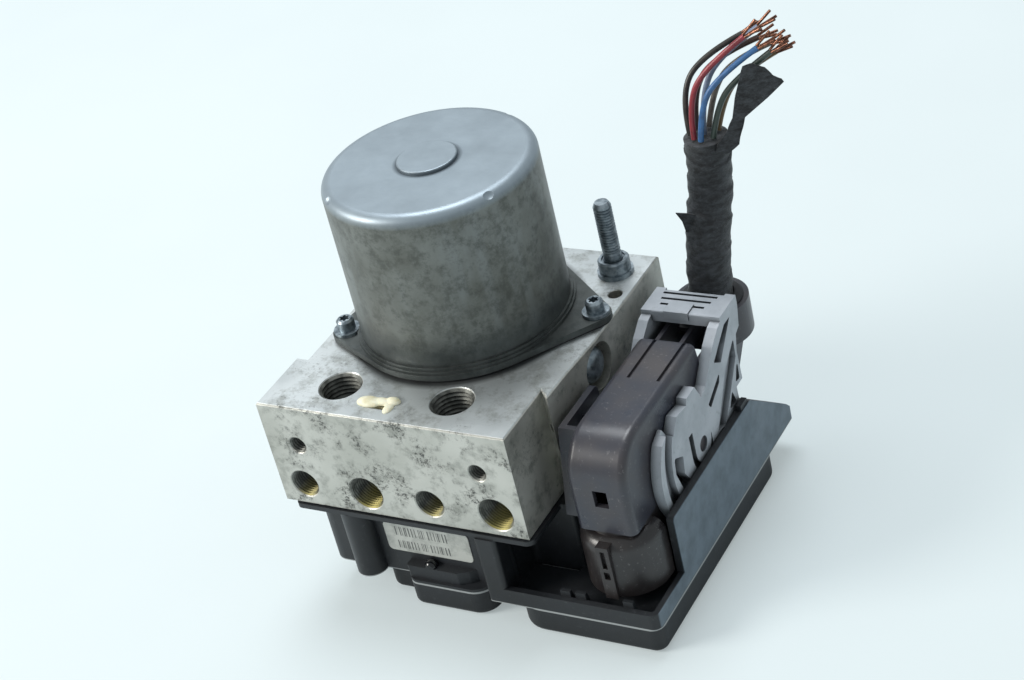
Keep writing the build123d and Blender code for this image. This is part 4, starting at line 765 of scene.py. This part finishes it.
def make_camera():
    """Camera above the ported corner, slightly rolled."""
    data = bpy.data.cameras.new("camera")
    data.lens = camera_lens
    data.sensor_width = camera_sensor
    data.clip_start = 0.05
    data.clip_end = 10.0
    camera = bpy.data.objects.new("camera", data)
    camera.location = Vector(camera_place) * MM
    camera.rotation_euler = Euler([math.radians(a) for a in camera_turn_deg], "XYZ")
    bpy.context.collection.objects.link(camera)
    bpy.context.scene.camera = camera


def make_stage():
    """Pale studio floor that runs to the horizon."""
    clear_selection()
    bpy.ops.mesh.primitive_plane_add(size=6.0, location=(0, 0, -0.0001))
    floor = bpy.context.object
    floor.name = "studio_floor"
    bpy.ops.object.transform_apply(location=True)
    material, tree = new_material("pale_paper")
    place = in_mm(tree)
    mottle = noise(tree, place, 120.0, 2.0)
    colour = blend(tree, between(tree, mottle, 0.4, 0.6), "#CCD5D7", "#CED7D9")
    paper = add(tree, "ShaderNodeBsdfPrincipled", {"Base Color": colour, "Roughness": 0.9})
    # seen straight on, the paper glows a little, so its shadows stay pale without more light on the object
    glow = add(tree, "ShaderNodeEmission", {"Color": linear("#E8F3F4")})
    share = camera_ray(tree, 0.0, 0.35)
    mix = add(tree, "ShaderNodeMixShader", {0: share, 1: paper.outputs[0], 2: glow.outputs[0]})
    add(tree, "ShaderNodeOutputMaterial", {"Surface": mix.outputs[0]})
    floor.data.materials.append(material)


def make_light(name, place, size, power, colour):
    """A round window turned to the object's middle."""
    data = bpy.data.lights.new(name, "AREA")
    data.shape = "DISK"
    data.size = size
    data.energy = power
    data.color = linear(colour)[:3]
    light = bpy.data.objects.new(name, data)
    light.location = place
    light.rotation_euler = (Vector(object_middle) - Vector(place)).to_track_quat("-Z", "Y").to_euler()
    bpy.context.collection.objects.link(light)


def make_lighting():
    """Soft daylight from the left and above, with a pale world."""
    world = bpy.data.worlds.new("studio")
    bpy.context.scene.world = world
    world.use_nodes = True
    tree = world.node_tree
    tree.nodes.clear()
    # seen straight on, the backdrop is nearly white; its light on the object stays low
    strength = camera_ray(tree, 0.62, 0.95)
    sky = add(tree, "ShaderNodeBackground", {"Color": linear("#E6EFF3"), "Strength": strength})
    add(tree, "ShaderNodeOutputWorld", {"Surface": sky.outputs[0]})
    make_light("window_left", (-1.0, -0.75, 0.75), 0.6, 15.5, "#FFFCF6")
    make_light("window_top", (-0.25, 0.5, 1.5), 0.9, 17.0, "#F6FBFF")
    bpy.context.scene.view_settings.view_transform = "Standard"


def dress_nodes(finishes):
    """Puts the right finish on each CAD node."""
    table = {
        "block": ("hydraulic_block", "accumulator_piston_left", "accumulator_piston_right"),
        "can": ("motor_can",),
        "fastener": ("stud_collar", "motor_screws", "pump_plugs", "damper_caps", "ecu_screws",
                     "accumulator_caps", "pressure_sensor", "pump_sleeves"),
        "bright": ("lower_bearing", "motor_shaft", "eccentric_ring", "pump_pistons", "pump_springs",
                   "inlet_valves", "outlet_valves", "accumulator_spring_left", "accumulator_spring_right",
                   "armature_core"),
        "housing": ("ecu_housing", "ecu_cover"),
        "hood": ("plug_hood",),
        "plug": ("plug_body",),
        "lever": ("lever",),
        "rubber": ("motor_gasket", "cover_seal", "housing_gasket", "plug_seal", "outlet_grommet",
                   "accumulator_seal_left", "accumulator_seal_right"),
        "copper": ("armature_windings", "commutator", "copper_ends", "upper_bush", "motor_leads",
                   "header_pins", "plug_terminals"),
        "label": ("label_plate",),
        "sealant": ("sealant_smear",),
        "vent": ("vent_cap",),
        "board": ("circuit_board",),
        "resin": ("valve_coils", "brush_plate"),
        "magnet": ("motor_magnets", "motor_brushes"),
    }
    for finish, names in table.items():
        for name in names:
            mesh = nodes[name].data
            mesh.materials.clear()
            mesh.materials.append(finishes[finish])


# ---------------------------------------------------------------- build
make_camera()
insulations = {
    "black": wire_insulation("black_pvc", "#25221F", "#3A3530"),
    "brown": wire_insulation("brown_pvc", "#4A332B", "#33241F"),
    "red": wire_insulation("red_pvc", "#8E2A33", "#6A2028"),
    "blue": wire_insulation("blue_pvc", "#3A689A", "#2A4A70"),
    "grey": wire_insulation("grey_blue_pvc", "#6A7890", "#4A5060"),
    "white": wire_insulation("white_pvc", "#6E675F", "#4A453F"),
    "green": wire_insulation("green_pvc", "#37443D", "#262E29"),
    "yellow": wire_insulation("yellow_pvc", "#6E5838", "#4A3B28"),
}
make_wires(insulations)
finishes = {
    "block": machined_aluminium(),
    "can": passivated_can_steel(),
    "fastener": plated_fastener_steel(),
    "bright": plated_fastener_steel("ground_steel", "#A9AEB0", "#8A9092"),
    "housing": moulded_black(),
    "hood": moulded_hood_plastic("charcoal_polyamide", "#30343F", "#3E3A3C"),
    "plug": moulded_hood_plastic("dark_polyamide", "#201E20", "#2E2928"),
    "lever": moulded_grey_lever(),
    "rubber": black_rubber(),
    "copper": bare_copper(),
    "label": printed_label(),
    "sealant": dried_sealant(),
    "vent": gloss_vent_cap(),
    "board": circuit_board_resist(),
    "resin": moulded_resin(),
    "magnet": sintered_magnet(),
}
dress_nodes(finishes)
make_port_threads(cut_thread_metal())
make_stud(finishes["fastener"])
make_sealant(finishes["sealant"])
cloth = cloth_loom_tape()
make_loom_tape(cloth)
make_tape_ends(cloth)
make_stage()
make_lighting()
